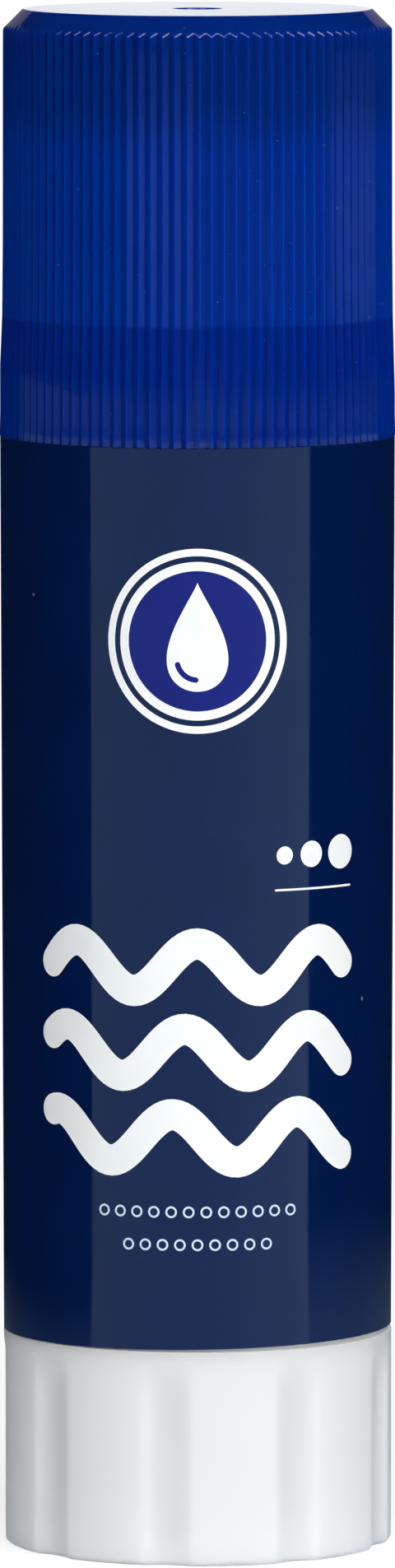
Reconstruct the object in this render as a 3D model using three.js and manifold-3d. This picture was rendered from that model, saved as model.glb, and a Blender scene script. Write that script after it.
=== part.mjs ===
import * as THREE from "three";
import { mergeVertices } from "three/addons/utils/BufferGeometryUtils.js";
import Module from "manifold-3d";

// A twist-up glue stick, in millimetres. It stands on z = 0, its axis runs along +Z
// and the front of its label faces -Y.

// Tube: a moulded body with a plain bore and a thinner neck that the cap slides over
const BORE_RADIUS = 9.5;
const NECK_WALL = 1.4;
const NECK_THINNING = 0.3;
const NECK_LENGTH = 18.5;
const NECK_SEAT_LENGTH = 6.8;
const TUBE_BODY_LENGTH = 54.85;
const TUBE_TAPER = 0.12;
const RIM_ROUNDING = 0.35;
const CAP_BEAD_RISE = 0.2;
const CAP_BEAD_HEIGHT = 1.2;
const CAP_BEAD_ABOVE_SHOULDER = 2.5;
const TUBE_LEAD_IN = 0.5;
const SPLINE_COUNT = 4;
const SPLINE_WIDTH = 1.2;
const SPLINE_RISE = 0.5;
const SPLINE_BELOW_RIM = 1.0;

// Label: a printed film wound once round the tube, its end lapped over its start at the back
const LABEL_FILM = 0.12;
const LABEL_GLUE_LINE = 0.05;
const LABEL_FOOT_INSET = 0.15;
const LABEL_LAP_STEPS = 3;

// Cap: fine ribs down its side, a chamfered crown and a ring that closes on the tube's rim
const CAP_CLEARANCE = 0.4;
const CAP_WALL = 0.8;
const CAP_PROUD = 0.1;
const CAP_SEAT_GAP = 0.15;
const CAP_HEADROOM = 6.2;
const CAP_TOP_WALL = 1.3;
const CAP_CHAMFER = 1.2;
const CAP_WAIST_INSET = 0.2;
const CAP_CROWN_INSET = 0.29;
const CAP_FLARE_START = 3.3;
const CAP_FLARE_END = 9.3;
const CAP_GRIP_RISE = 0.1;
const CAP_GRIP_BOTTOM = 1.1;
const CAP_GRIP_HEIGHT = 0.8;
const RIB_COUNT = 100;
const RIB_DEPTH = 0.25;
const RIB_CREST_SHARE = 0.4;
const RIB_FIRST_ANGLE = -90.8;
const SEAL_GAP = 0.3;
const SEAL_INSET = 0.25;
const SEAL_WALL = 0.7;
const GATE_RADIUS = 1.4;
const GATE_DEPTH = 0.5;
const GATE_NUB_RADIUS = 0.35;
const GATE_NUB_SINK = 0.1;

// Twist knob: a fluted skirt round a collar that snaps into the tube, and a socketed boss
const KNOB_HEIGHT = 13;
const KNOB_PROUD = 0.02;
const KNOB_WALL = 1.3;
const KNOB_FLOOR = 1.4;
const KNOB_FOOT_FILLET = 0.4;
const KNOB_RIM_CHAMFER = 0.15;
const RUNNING_GAP = 0.15;
const FLUTE_COUNT = 9;
const FLUTE_DEPTH = 0.5;
const FLUTE_ARC_RADIUS = 3.15;
const FLUTE_BELOW_RIM = 0.3;
const FLUTE_FIRST_ANGLE = -99;
const FOOT_RING_WIDTH = 3.3;
const FOOT_RECESS = 0.4;
const FOOT_NUB_RADIUS = 0.8;
const FOOT_NUB_SINK = 0.15;
const COLLAR_CLEARANCE = 0.2;
const COLLAR_WALL = 1.05;
const COLLAR_ABOVE_BEAD = 1.3;
const COLLAR_LEAD_IN = 0.3;
const SNAP_HOLD = 0.35;
const SNAP_BEAD_HEIGHT = 1.1;
const SNAP_PLAY = 0.3;
const SNAP_GROOVE_ABOVE_FOOT = 2.75;
const COLLAR_SLOT_COUNT = 4;
const COLLAR_SLOT_WIDTH = 1.4;
const COLLAR_SLOT_ABOVE_FOOT = 1.3;
const BOSS_RADIUS = 3.6;
const BOSS_LENGTH = 7.6;
const KNOB_WEB_COUNT = 4;
const KNOB_WEB_THICKNESS = 1;
const KNOB_WEB_HEIGHT = 4.6;

// Spindle: a hexagon root held in the knob, a stop flange and a left-hand screw
const HEX_ACROSS_FLATS = 3.9;
const HEX_CLEARANCE = 0.15;
const SEAT_GAP = 0.3;
const FLANGE_RADIUS = 4.4;
const FLANGE_THICKNESS = 1;
const SPINDLE_NECK_RADIUS = 2.3;
const SCREW_CORE_RADIUS = 2.1;
const SCREW_CREST_RADIUS = 3.3;
const SCREW_ROOT_WIDTH = 2.1;
const SCREW_CREST_WIDTH = 1.1;
const SCREW_LEAD = 6;
const SCREW_FADE_TURNS = 0.25;
const SCREW_FADE_SINK = 0.1;
const SCREW_BELOW_NUT = 1;
const SCREW_TIP_LENGTH = 1;
const SCREW_TIP_INSET = 0.8;

// Carrier: a cup that holds the foot of the glue, with a threaded hub and two wiping lips
const CARRIER_REST_GAP = 0.4;
const CARRIER_CLEARANCE = 0.45;
const CARRIER_WALL = 0.8;
const CARRIER_SKIRT = 3;
const CARRIER_FLOOR = 1.2;
const CARRIER_CUP_DEPTH = 7.8;
const LIP_CLEARANCE = 0.15;
const LIP_HEIGHT = 0.8;
const HUB_RADIUS = 4.6;
const HUB_LENGTH = 7.2;
const HUB_LIFT = 0.8;
const NUT_CLEARANCE = 0.25;
const NOTCH_CLEARANCE = 0.25;
const CUP_WEB_COUNT = 4;
const CUP_WEB_THICKNESS = 0.8;
const CUP_WEB_HEIGHT = 3;
const VENT_COUNT = 4;
const VENT_RADIUS = 1;

// Glue: a bar cast round the screw, filling the tube above the carrier
const GLUE_CLEARANCE = 0.2;
const GLUE_SEAT_GAP = 0.3;
const GLUE_FOOT_CLEARANCE = 0.25;
const GLUE_BELOW_RIM = 1.5;
const GLUE_TOP_COVER = 3.5;
const GLUE_EDGE_ROUNDING = 0.6;
const GLUE_TIP_GAP = 0.5;

// Facets of round shapes, and how shapes that are joined or cut pass into each other
const ROUND_STEPS = 44;
const SMALL_STEPS = 16;
const CORNER_STEPS = 2;
const CUT_OVERSHOOT = 1;
const JOIN_OVERLAP = 0.2;
const SAME_POINT = 1e-4;

// Radii that follow from the bore outwards
const neckRadius = BORE_RADIUS + NECK_WALL;
const neckUpperRadius = neckRadius - NECK_THINNING;
const capBeadRadius = neckRadius + CAP_BEAD_RISE;
const capInnerRadius = neckRadius + CAP_CLEARANCE;
const capUpperInnerRadius = capInnerRadius - NECK_THINNING;
const capFootRadius = capInnerRadius + CAP_WALL;
const labelTopRadius = capFootRadius - CAP_PROUD;
const tubeTopRadius = labelTopRadius - LABEL_FILM - LABEL_GLUE_LINE;
const tubeFootRadius = tubeTopRadius - TUBE_TAPER;
const knobRadius = labelTopRadius - TUBE_TAPER + KNOB_PROUD;
const collarRadius = BORE_RADIUS - COLLAR_CLEARANCE;
const snapBeadRadius = BORE_RADIUS + SNAP_HOLD;
const snapGrooveRadius = snapBeadRadius + SNAP_PLAY;
const carrierRadius = BORE_RADIUS - CARRIER_CLEARANCE;
const cupRadius = carrierRadius - CARRIER_WALL;
const splineTipRadius = BORE_RADIUS - SPLINE_RISE;

// Heights above the base that follow from the knob upwards
const tubeFoot = KNOB_HEIGHT + RUNNING_GAP;
const shoulder = tubeFoot + TUBE_BODY_LENGTH;
const rim = shoulder + NECK_LENGTH;
const capFoot = shoulder + CAP_SEAT_GAP;
const snapGrooveBottom = tubeFoot + SNAP_GROOVE_ABOVE_FOOT;
const snapBeadBottom = snapGrooveBottom + SNAP_PLAY;
const collarTop = snapBeadBottom + SNAP_BEAD_HEIGHT + COLLAR_ABOVE_BEAD;
const carrierFoot = collarTop + CARRIER_REST_GAP;
const hubFoot = carrierFoot + HUB_LIFT;
const cupFloor = carrierFoot + CARRIER_SKIRT + CARRIER_FLOOR;
const cupLip = cupFloor + CARRIER_CUP_DEPTH;
const glueFoot = cupFloor + GLUE_SEAT_GAP;
const glueTop = rim - GLUE_BELOW_RIM;
const glueBoreTop = glueTop - GLUE_TOP_COVER;
const bossTop = KNOB_FLOOR + BOSS_LENGTH;
const spindleFoot = KNOB_FLOOR + SEAT_GAP;
const flangeFoot = bossTop + SEAT_GAP;
const screwStart = hubFoot - SCREW_BELOW_NUT;
const spindleTip = glueBoreTop - GLUE_TIP_GAP;

const radians = THREE.MathUtils.degToRad;
const at = (radius, height) => new THREE.Vector2(radius, height);

const library = await Module();
library.setup();
const { Manifold, Mesh: SolidMesh } = library;

// A closed geometry as a solid that can be joined and cut
function solid(geometry) {
  const shell = geometry.clone();
  shell.deleteAttribute("normal");
  shell.deleteAttribute("uv");
  const merged = mergeVertices(shell, SAME_POINT);
  const corners = merged.index.array;
  const triVerts = [];
  for (let i = 0; i < corners.length; i += 3) {
    const [a, b, c] = corners.slice(i, i + 3);
    if (a !== b && b !== c && c !== a) triVerts.push(a, b, c);
  }
  return new Manifold(
    new SolidMesh({
      numProp: 3,
      vertProperties: merged.attributes.position.array,
      triVerts: new Uint32Array(triVerts),
    }),
  );
}

// A solid of revolution. Its outline runs counter-clockwise in (radius, height), and
// either starts and ends on the axis or closes on itself.
function revolve(outline, steps = ROUND_STEPS) {
  const onAxis = outline[0].x === 0 && outline.at(-1).x === 0;
  const profile = onAxis ? outline : [...outline, outline[0]];
  return solid(new THREE.LatheGeometry(profile, steps).rotateX(Math.PI / 2));
}

// A solid through level rings of points, all counter-clockwise and of one length
function loft(rings) {
  const count = rings[0].length;
  const index = [];
  for (let level = 0; level + 1 < rings.length; level++) {
    for (let i = 0; i < count; i++) {
      const next = (i + 1) % count;
      const low = level * count;
      const high = low + count;
      index.push(low + i, low + next, high + next, low + i, high + next, high + i);
    }
  }
  const last = (rings.length - 1) * count;
  for (const [a, b, c] of THREE.ShapeUtils.triangulateShape(rings[0].slice(), [])) {
    index.push(a, c, b);
  }
  for (const [a, b, c] of THREE.ShapeUtils.triangulateShape(rings.at(-1).slice(), [])) {
    index.push(last + a, last + b, last + c);
  }
  const geometry = new THREE.BufferGeometry().setFromPoints(rings.flat());
  geometry.setIndex(index);
  return solid(geometry);
}

function disc(radius, bottom, top, steps = SMALL_STEPS) {
  const geometry = new THREE.CylinderGeometry(radius, radius, top - bottom, steps);
  return solid(geometry.rotateX(Math.PI / 2).translate(0, 0, (bottom + top) / 2));
}

// A block that lies along a radius, between two distances from the axis
function radialBlock({ inner, outer, width, bottom, top, angle }) {
  const geometry = new THREE.BoxGeometry(outer - inner, width, top - bottom);
  geometry.translate((inner + outer) / 2, 0, (bottom + top) / 2);
  return solid(geometry.rotateZ(radians(angle)));
}

// The same feature at equal angles round the axis, from a function of the angle
function around(count, firstAngle, feature) {
  const angles = Array.from({ length: count }, (_, i) => firstAngle + (360 * i) / count);
  return Manifold.union(angles.map(feature));
}

// Points of a quarter round from one direction to another, both in degrees
function corner(radius, height, rounding, from, to) {
  return Array.from({ length: CORNER_STEPS + 1 }, (_, i) => {
    const angle = radians(from + ((to - from) * i) / CORNER_STEPS);
    return at(radius + rounding * Math.cos(angle), height + rounding * Math.sin(angle));
  });
}

// The ridge of a left-hand screw, fading in and out of its core, from a start to an end
// height. Play widens it on every side, which gives the cutter for the nut.
function screwRidge({ start, end, play = 0, fade = SCREW_FADE_TURNS }) {
  const turns = (end - start) / SCREW_LEAD;
  const count = Math.ceil(turns * SMALL_STEPS);
  const halfStep = Math.PI / SMALL_STEPS;
  const rootRadius = SCREW_CORE_RADIUS / 2;
  const rootHalf = SCREW_ROOT_WIDTH / 2 + play;
  const crestHalf = SCREW_CREST_WIDTH / 2 + play;
  const points = [];
  const index = [];
  for (let i = 0; i <= count; i++) {
    const turn = Math.min(i / SMALL_STEPS, turns);
    const nearEnd = Math.min(turn, turns - turn);
    const rise = fade > 0 ? Math.min(1, nearEnd / fade) : 1;
    const crest = SCREW_CREST_RADIUS + play;
    const crestRadius = THREE.MathUtils.lerp(SCREW_CORE_RADIUS - SCREW_FADE_SINK, crest, rise);
    const angle = halfStep - 2 * Math.PI * turn;
    const height = start + turn * SCREW_LEAD;
    const section = [
      [rootRadius, -rootHalf],
      [crestRadius, -crestHalf],
      [crestRadius, crestHalf],
      [rootRadius, rootHalf],
    ];
    for (const [radius, offset] of section) {
      const x = radius * Math.cos(angle);
      const y = radius * Math.sin(angle);
      points.push(new THREE.Vector3(x, y, height + offset));
    }
  }
  for (let i = 0; i < count; i++) {
    for (let side = 0; side < 4; side++) {
      const a = 4 * i + side;
      const b = 4 * i + ((side + 1) % 4);
      index.push(a, b, b + 4, a, b + 4, a + 4);
    }
  }
  const last = 4 * count;
  index.push(0, 2, 1, 0, 3, 2, last, last + 1, last + 2, last, last + 2, last + 3);
  const geometry = new THREE.BufferGeometry().setFromPoints(points);
  geometry.setIndex(index);
  return solid(geometry);
}

// Each piece below is made with its own lowest point at z = 0.

function tube() {
  const up = (height) => height - tubeFoot;
  const beadBottom = up(shoulder) + CAP_BEAD_ABOVE_SHOULDER;
  const seatTop = up(shoulder) + NECK_SEAT_LENGTH;
  const grooveTop = up(snapBeadBottom) + SNAP_BEAD_HEIGHT + SNAP_PLAY;
  const wall = revolve([
    at(BORE_RADIUS + TUBE_LEAD_IN, 0),
    at(tubeFootRadius, 0),
    at(tubeTopRadius, up(shoulder)),
    at(neckRadius, up(shoulder)),
    at(neckRadius, beadBottom),
    at(capBeadRadius, beadBottom + CAP_BEAD_RISE),
    at(capBeadRadius, beadBottom + CAP_BEAD_HEIGHT - CAP_BEAD_RISE),
    at(neckRadius, beadBottom + CAP_BEAD_HEIGHT),
    at(neckRadius, seatTop),
    at(neckUpperRadius, seatTop + NECK_THINNING),
    ...corner(neckUpperRadius - RIM_ROUNDING, up(rim) - RIM_ROUNDING, RIM_ROUNDING, 0, 90),
    ...corner(BORE_RADIUS + RIM_ROUNDING, up(rim) - RIM_ROUNDING, RIM_ROUNDING, 90, 180),
    at(BORE_RADIUS, grooveTop),
    at(snapGrooveRadius, grooveTop),
    at(snapGrooveRadius, up(snapGrooveBottom)),
    at(BORE_RADIUS, up(snapGrooveBottom)),
    at(BORE_RADIUS, TUBE_LEAD_IN),
  ]);
  const spline = (angle) =>
    radialBlock({
      inner: splineTipRadius,
      outer: BORE_RADIUS + JOIN_OVERLAP,
      width: SPLINE_WIDTH,
      bottom: up(carrierFoot),
      top: up(rim) - SPLINE_BELOW_RIM,
      angle,
    });
  return wall.add(around(SPLINE_COUNT, 0, spline));
}

function label() {
  const turnSteps = ROUND_STEPS + LABEL_LAP_STEPS;
  const lapRise = LABEL_FILM + LABEL_GLUE_LINE;
  const length = TUBE_BODY_LENGTH - LABEL_FOOT_INSET;
  const footTaper = TUBE_TAPER * (length / TUBE_BODY_LENGTH);
  const ring = (height, radius) => {
    const side = (offset) =>
      Array.from({ length: turnSteps + 1 }, (_, i) => {
        const angle = radians(90 + (360 * i) / ROUND_STEPS);
        const lapped = i >= ROUND_STEPS ? lapRise : 0;
        const reach = radius + offset + lapped;
        return new THREE.Vector3(reach * Math.cos(angle), reach * Math.sin(angle), height);
      });
    return [...side(LABEL_FILM), ...side(0).reverse()];
  };
  const inner = tubeTopRadius + LABEL_GLUE_LINE;
  return loft([ring(0, inner - footTaper), ring(length, inner)]);
}

// One ring of the cap's side. Each rib is a broad crest between two narrow valleys.
function ribbedRing(height, radius) {
  const section = [
    [-RIB_CREST_SHARE / 2, 1],
    [RIB_CREST_SHARE / 2, 1],
    [0.5, 0],
  ];
  const pitch = 360 / RIB_COUNT;
  const points = [];
  for (let rib = 0; rib < RIB_COUNT; rib++) {
    for (const [share, rise] of section) {
      const angle = radians(RIB_FIRST_ANGLE + (rib + share) * pitch);
      const reach = radius - RIB_DEPTH * (1 - rise);
      points.push(new THREE.Vector3(reach * Math.cos(angle), reach * Math.sin(angle), height));
    }
  }
  return points;
}

function cap() {
  const up = (height) => height - capFoot;
  const ceiling = up(rim) + CAP_HEADROOM;
  const top = ceiling + CAP_TOP_WALL;
  const seatTop = up(shoulder) + NECK_SEAT_LENGTH;
  const crownRadius = capFootRadius - CAP_CROWN_INSET;
  const waistRadius = capFootRadius - CAP_WAIST_INSET;
  const ribbed = loft([
    ribbedRing(0, capFootRadius),
    ribbedRing(CAP_FLARE_START, capFootRadius),
    ribbedRing(CAP_FLARE_END, waistRadius),
    ribbedRing(top + CUT_OVERSHOOT, crownRadius),
  ]);
  const crownFace = crownRadius - CAP_CHAMFER;
  const coneReach = capFootRadius + CAP_CHAMFER;
  const chamfered = revolve([
    at(0, -CUT_OVERSHOOT),
    at(coneReach, -CUT_OVERSHOOT),
    at(coneReach, top - (coneReach - crownFace)),
    at(crownFace, top),
    at(0, top),
  ]);
  const gripRadius = capInnerRadius - CAP_GRIP_RISE;
  const gripTop = CAP_GRIP_BOTTOM + CAP_GRIP_HEIGHT;
  const sealRadius = neckUpperRadius - SEAL_INSET;
  const sealFoot = up(rim) + SEAL_GAP;
  const upperStep = seatTop + 2 * NECK_THINNING;
  const hollow = revolve([
    at(0, -CUT_OVERSHOOT),
    at(capInnerRadius, -CUT_OVERSHOOT),
    at(capInnerRadius, CAP_GRIP_BOTTOM),
    at(gripRadius, CAP_GRIP_BOTTOM + CAP_GRIP_RISE),
    at(gripRadius, gripTop - CAP_GRIP_RISE),
    at(capInnerRadius, gripTop),
    at(capInnerRadius, upperStep),
    at(capUpperInnerRadius, upperStep + NECK_THINNING),
    at(capUpperInnerRadius, ceiling),
    at(sealRadius, ceiling),
    at(sealRadius, sealFoot),
    at(sealRadius - SEAL_WALL, sealFoot),
    at(sealRadius - SEAL_WALL, ceiling),
    at(0, ceiling),
  ]);
  const gate = disc(GATE_RADIUS, top - GATE_DEPTH, top + CUT_OVERSHOOT);
  const nub = disc(GATE_NUB_RADIUS, top - 2 * GATE_DEPTH, top - GATE_NUB_SINK);
  return ribbed.intersect(chamfered).subtract(hollow).subtract(gate).add(nub);
}

function knob() {
  const skirtInner = knobRadius - KNOB_WALL;
  const collarInner = collarRadius - COLLAR_WALL;
  const recessRadius = knobRadius - FOOT_RING_WIDTH;
  const beadTop = snapBeadBottom + SNAP_BEAD_HEIGHT;
  const body = revolve([
    at(0, FOOT_RECESS),
    at(recessRadius, FOOT_RECESS),
    at(recessRadius, 0),
    ...corner(knobRadius - KNOB_FOOT_FILLET, KNOB_FOOT_FILLET, KNOB_FOOT_FILLET, -90, 0),
    at(knobRadius, KNOB_HEIGHT - KNOB_RIM_CHAMFER),
    at(knobRadius - KNOB_RIM_CHAMFER, KNOB_HEIGHT),
    at(skirtInner, KNOB_HEIGHT),
    at(skirtInner, KNOB_FLOOR),
    at(collarRadius, KNOB_FLOOR),
    at(collarRadius, snapBeadBottom),
    at(snapBeadRadius, snapBeadBottom),
    at(collarRadius, beadTop),
    at(collarRadius, collarTop - COLLAR_LEAD_IN),
    at(collarRadius - COLLAR_LEAD_IN, collarTop),
    at(collarInner, collarTop),
    at(collarInner, KNOB_FLOOR),
    at(BOSS_RADIUS, KNOB_FLOOR),
    at(BOSS_RADIUS, bossTop),
    at(0, bossTop),
  ]);
  const web = (angle) =>
    radialBlock({
      inner: BOSS_RADIUS - JOIN_OVERLAP,
      outer: collarInner + JOIN_OVERLAP,
      width: KNOB_WEB_THICKNESS,
      bottom: KNOB_FLOOR - JOIN_OVERLAP,
      top: KNOB_FLOOR + KNOB_WEB_HEIGHT,
      angle,
    });
  const slot = (angle) =>
    radialBlock({
      inner: collarInner - CUT_OVERSHOOT,
      outer: snapBeadRadius + CUT_OVERSHOOT,
      width: COLLAR_SLOT_WIDTH,
      bottom: tubeFoot + COLLAR_SLOT_ABOVE_FOOT,
      top: collarTop + CUT_OVERSHOOT,
      angle,
    });
  const flute = (angle) => {
    const cutter = disc(FLUTE_ARC_RADIUS, -CUT_OVERSHOOT, KNOB_HEIGHT - FLUTE_BELOW_RIM, ROUND_STEPS);
    const reach = knobRadius + FLUTE_ARC_RADIUS - FLUTE_DEPTH;
    return cutter.translate([
      reach * Math.cos(radians(angle)),
      reach * Math.sin(radians(angle)),
      0,
    ]);
  };
  const socketRadius = (HEX_ACROSS_FLATS + 2 * HEX_CLEARANCE) / Math.sqrt(3);
  const nub = disc(FOOT_NUB_RADIUS, FOOT_NUB_SINK, KNOB_FLOOR);
  return body
    .add(around(KNOB_WEB_COUNT, 45, web))
    .add(nub)
    .subtract(disc(socketRadius, KNOB_FLOOR, bossTop + CUT_OVERSHOOT, 6))
    .subtract(around(COLLAR_SLOT_COUNT, 0, slot))
    .subtract(around(FLUTE_COUNT, FLUTE_FIRST_ANGLE, flute));
}

function spindle() {
  const up = (height) => height - spindleFoot;
  const screwEnd = up(spindleTip) - SCREW_TIP_LENGTH - SCREW_ROOT_WIDTH / 2;
  const shaft = revolve(
    [
      at(0, up(flangeFoot)),
      at(FLANGE_RADIUS, up(flangeFoot)),
      at(FLANGE_RADIUS, up(flangeFoot) + FLANGE_THICKNESS),
      at(SPINDLE_NECK_RADIUS, up(flangeFoot) + FLANGE_THICKNESS),
      at(SPINDLE_NECK_RADIUS, up(screwStart)),
      at(SCREW_CORE_RADIUS, up(screwStart)),
      at(SCREW_CORE_RADIUS, up(spindleTip) - SCREW_TIP_LENGTH),
      at(SCREW_CORE_RADIUS - SCREW_TIP_INSET, up(spindleTip)),
      at(0, up(spindleTip)),
    ],
    SMALL_STEPS,
  );
  const root = disc(HEX_ACROSS_FLATS / Math.sqrt(3), 0, up(flangeFoot) + FLANGE_THICKNESS / 2, 6);
  const ridge = screwRidge({ start: up(screwStart) + SCREW_ROOT_WIDTH / 2, end: screwEnd });
  return shaft.add(root).add(ridge);
}

function carrier() {
  const up = (height) => height - carrierFoot;
  const floorBottom = CARRIER_SKIRT;
  const lipRadius = BORE_RADIUS - LIP_CLEARANCE;
  const lipSlope = lipRadius - carrierRadius;
  const hubTop = up(hubFoot) + HUB_LENGTH;
  const body = revolve([
    at(0, up(hubFoot)),
    at(HUB_RADIUS, up(hubFoot)),
    at(HUB_RADIUS, floorBottom),
    at(cupRadius, floorBottom),
    at(cupRadius, 0),
    at(carrierRadius, 0),
    at(carrierRadius, floorBottom),
    at(lipRadius, floorBottom),
    at(lipRadius, floorBottom + LIP_HEIGHT),
    at(carrierRadius, floorBottom + LIP_HEIGHT + lipSlope),
    at(carrierRadius, up(cupLip) - LIP_HEIGHT - lipSlope),
    at(lipRadius, up(cupLip) - LIP_HEIGHT),
    at(lipRadius, up(cupLip)),
    at(cupRadius, up(cupLip)),
    at(cupRadius, up(cupFloor)),
    at(HUB_RADIUS, up(cupFloor)),
    at(HUB_RADIUS, hubTop),
    at(0, hubTop),
  ]);
  const web = (angle) =>
    radialBlock({
      inner: HUB_RADIUS - JOIN_OVERLAP,
      outer: cupRadius + JOIN_OVERLAP,
      width: CUP_WEB_THICKNESS,
      bottom: up(cupFloor) - JOIN_OVERLAP,
      top: up(cupFloor) + CUP_WEB_HEIGHT,
      angle,
    });
  const notch = (angle) =>
    radialBlock({
      inner: splineTipRadius - NOTCH_CLEARANCE,
      outer: BORE_RADIUS,
      width: SPLINE_WIDTH + 2 * NOTCH_CLEARANCE,
      bottom: -CUT_OVERSHOOT,
      top: up(cupLip) + CUT_OVERSHOOT,
      angle,
    });
  const vent = (angle) => {
    const reach = (HUB_RADIUS + cupRadius) / 2;
    const hole = disc(VENT_RADIUS, 0, up(cupLip));
    return hole.translate([reach * Math.cos(radians(angle)), reach * Math.sin(radians(angle)), 0]);
  };
  const nutStart = up(screwStart) + SCREW_ROOT_WIDTH / 2 - SCREW_LEAD;
  const nutThread = screwRidge({
    start: nutStart,
    end: hubTop + SCREW_ROOT_WIDTH,
    play: NUT_CLEARANCE,
    fade: 0,
  });
  const nutBore = disc(SCREW_CORE_RADIUS + NUT_CLEARANCE, -CUT_OVERSHOOT, hubTop + CUT_OVERSHOOT);
  return body
    .add(around(CUP_WEB_COUNT, 45, web))
    .subtract(nutBore.add(nutThread))
    .subtract(around(SPLINE_COUNT, 0, notch))
    .subtract(around(VENT_COUNT, 0, vent));
}

function glueBar() {
  const up = (height) => height - glueFoot;
  const radius = BORE_RADIUS - GLUE_CLEARANCE;
  const top = up(glueTop);
  const boreRadius = SCREW_CREST_RADIUS + GLUE_SEAT_GAP;
  const hubRecess = HUB_RADIUS + GLUE_SEAT_GAP;
  const hubRecessTop = up(hubFoot) + HUB_LENGTH + GLUE_SEAT_GAP;
  const lipSeat = up(cupLip) + GLUE_SEAT_GAP;
  const footRadius = cupRadius - GLUE_FOOT_CLEARANCE;
  const bar = revolve([
    at(0, up(glueBoreTop)),
    at(boreRadius, up(glueBoreTop)),
    at(boreRadius, hubRecessTop),
    at(hubRecess, hubRecessTop),
    at(hubRecess, 0),
    at(footRadius, 0),
    at(footRadius, lipSeat),
    at(radius, lipSeat),
    ...corner(radius - GLUE_EDGE_ROUNDING, top - GLUE_EDGE_ROUNDING, GLUE_EDGE_ROUNDING, 0, 90),
    at(0, top),
  ]);
  const webSlot = (angle) =>
    radialBlock({
      inner: boreRadius,
      outer: cupRadius,
      width: CUP_WEB_THICKNESS + 2 * GLUE_SEAT_GAP,
      bottom: -CUT_OVERSHOOT,
      top: CUP_WEB_HEIGHT,
      angle,
    });
  const splineGroove = (angle) =>
    radialBlock({
      inner: splineTipRadius - GLUE_CLEARANCE,
      outer: BORE_RADIUS,
      width: SPLINE_WIDTH + 2 * GLUE_CLEARANCE,
      bottom: -CUT_OVERSHOOT,
      top: top + CUT_OVERSHOOT,
      angle,
    });
  return bar
    .subtract(around(CUP_WEB_COUNT, 45, webSlot))
    .subtract(around(SPLINE_COUNT, 0, splineGroove));
}

// A named mesh of one piece, its lowest point at the given height above the base
function piece(name, shape, height, finish) {
  const { vertProperties, triVerts } = shape.getMesh();
  const geometry = new THREE.BufferGeometry();
  geometry.setAttribute("position", new THREE.BufferAttribute(vertProperties, 3));
  geometry.setIndex(new THREE.BufferAttribute(triVerts, 1));
  geometry.computeVertexNormals();
  const mesh = new THREE.Mesh(geometry, new THREE.MeshStandardMaterial(finish));
  mesh.name = name;
  mesh.position.z = height;
  return mesh;
}

const tubePlastic = { color: 0xf0f1f2, roughness: 0.35, metalness: 0 };
const labelFilm = { color: 0x0c2148, roughness: 0.12, metalness: 0 };
const capPlastic = { color: 0x0b3a86, roughness: 0.28, metalness: 0 };
const knobPlastic = { color: 0xf2f4f5, roughness: 0.3, metalness: 0 };
const screwPlastic = { color: 0xe6e8ea, roughness: 0.4, metalness: 0 };
const glueSolid = { color: 0xf4f3ee, roughness: 0.45, metalness: 0 };

const tubeGroup = new THREE.Group();
tubeGroup.add(piece("tube", tube(), tubeFoot, tubePlastic));
tubeGroup.add(piece("label", label(), tubeFoot + LABEL_FOOT_INSET, labelFilm));

const knobGroup = new THREE.Group();
knobGroup.add(piece("twist_knob", knob(), 0, knobPlastic));
knobGroup.add(piece("spindle", spindle(), spindleFoot, screwPlastic));

const carrierGroup = new THREE.Group();
carrierGroup.add(piece("carrier", carrier(), carrierFoot, screwPlastic));
carrierGroup.add(piece("glue_bar", glueBar(), glueFoot, glueSolid));

const capGroup = new THREE.Group();
capGroup.add(piece("cap", cap(), capFoot, capPlastic));

const glueStick = new THREE.Group();
glueStick.add(tubeGroup, knobGroup, carrierGroup, capGroup);

export default glueStick;
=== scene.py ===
import math

import bmesh
import bpy
import numpy as np
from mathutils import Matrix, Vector
from mathutils.geometry import delaunay_2d_cdt


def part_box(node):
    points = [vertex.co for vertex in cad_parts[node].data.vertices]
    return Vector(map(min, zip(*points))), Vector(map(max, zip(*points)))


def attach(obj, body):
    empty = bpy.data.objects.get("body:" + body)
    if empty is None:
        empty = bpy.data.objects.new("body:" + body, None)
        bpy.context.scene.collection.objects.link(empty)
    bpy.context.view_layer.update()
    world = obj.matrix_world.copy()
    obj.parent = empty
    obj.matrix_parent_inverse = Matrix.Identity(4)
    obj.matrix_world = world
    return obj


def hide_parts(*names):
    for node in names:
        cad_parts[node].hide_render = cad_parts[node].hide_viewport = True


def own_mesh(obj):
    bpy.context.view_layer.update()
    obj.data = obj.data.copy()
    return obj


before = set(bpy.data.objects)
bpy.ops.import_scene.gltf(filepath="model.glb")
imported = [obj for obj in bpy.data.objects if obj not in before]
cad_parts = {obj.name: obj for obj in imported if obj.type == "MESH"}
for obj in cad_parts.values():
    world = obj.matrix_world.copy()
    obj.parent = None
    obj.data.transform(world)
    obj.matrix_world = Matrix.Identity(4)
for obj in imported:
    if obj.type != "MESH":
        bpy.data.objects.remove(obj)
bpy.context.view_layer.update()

MM = 0.001

# The stick's axis is +Z and the front of its label faces -Y. Heights and reaches of the
# carried solids come from the frame, and every other size below is in metres.
cap_low, cap_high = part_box("cap")
tube_low, tube_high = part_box("tube")
label_low, label_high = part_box("label")
knob_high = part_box("twist_knob")[1]
carrier_low, carrier_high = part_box("carrier")
glue_low, glue_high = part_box("glue_bar")
FRONT = math.radians(-90)
BACK = math.radians(90)


def reach_of(node):
    """The largest distance of a carried solid from the stick's axis."""
    return max(v.co.xy.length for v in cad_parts[node].data.vertices)


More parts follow.
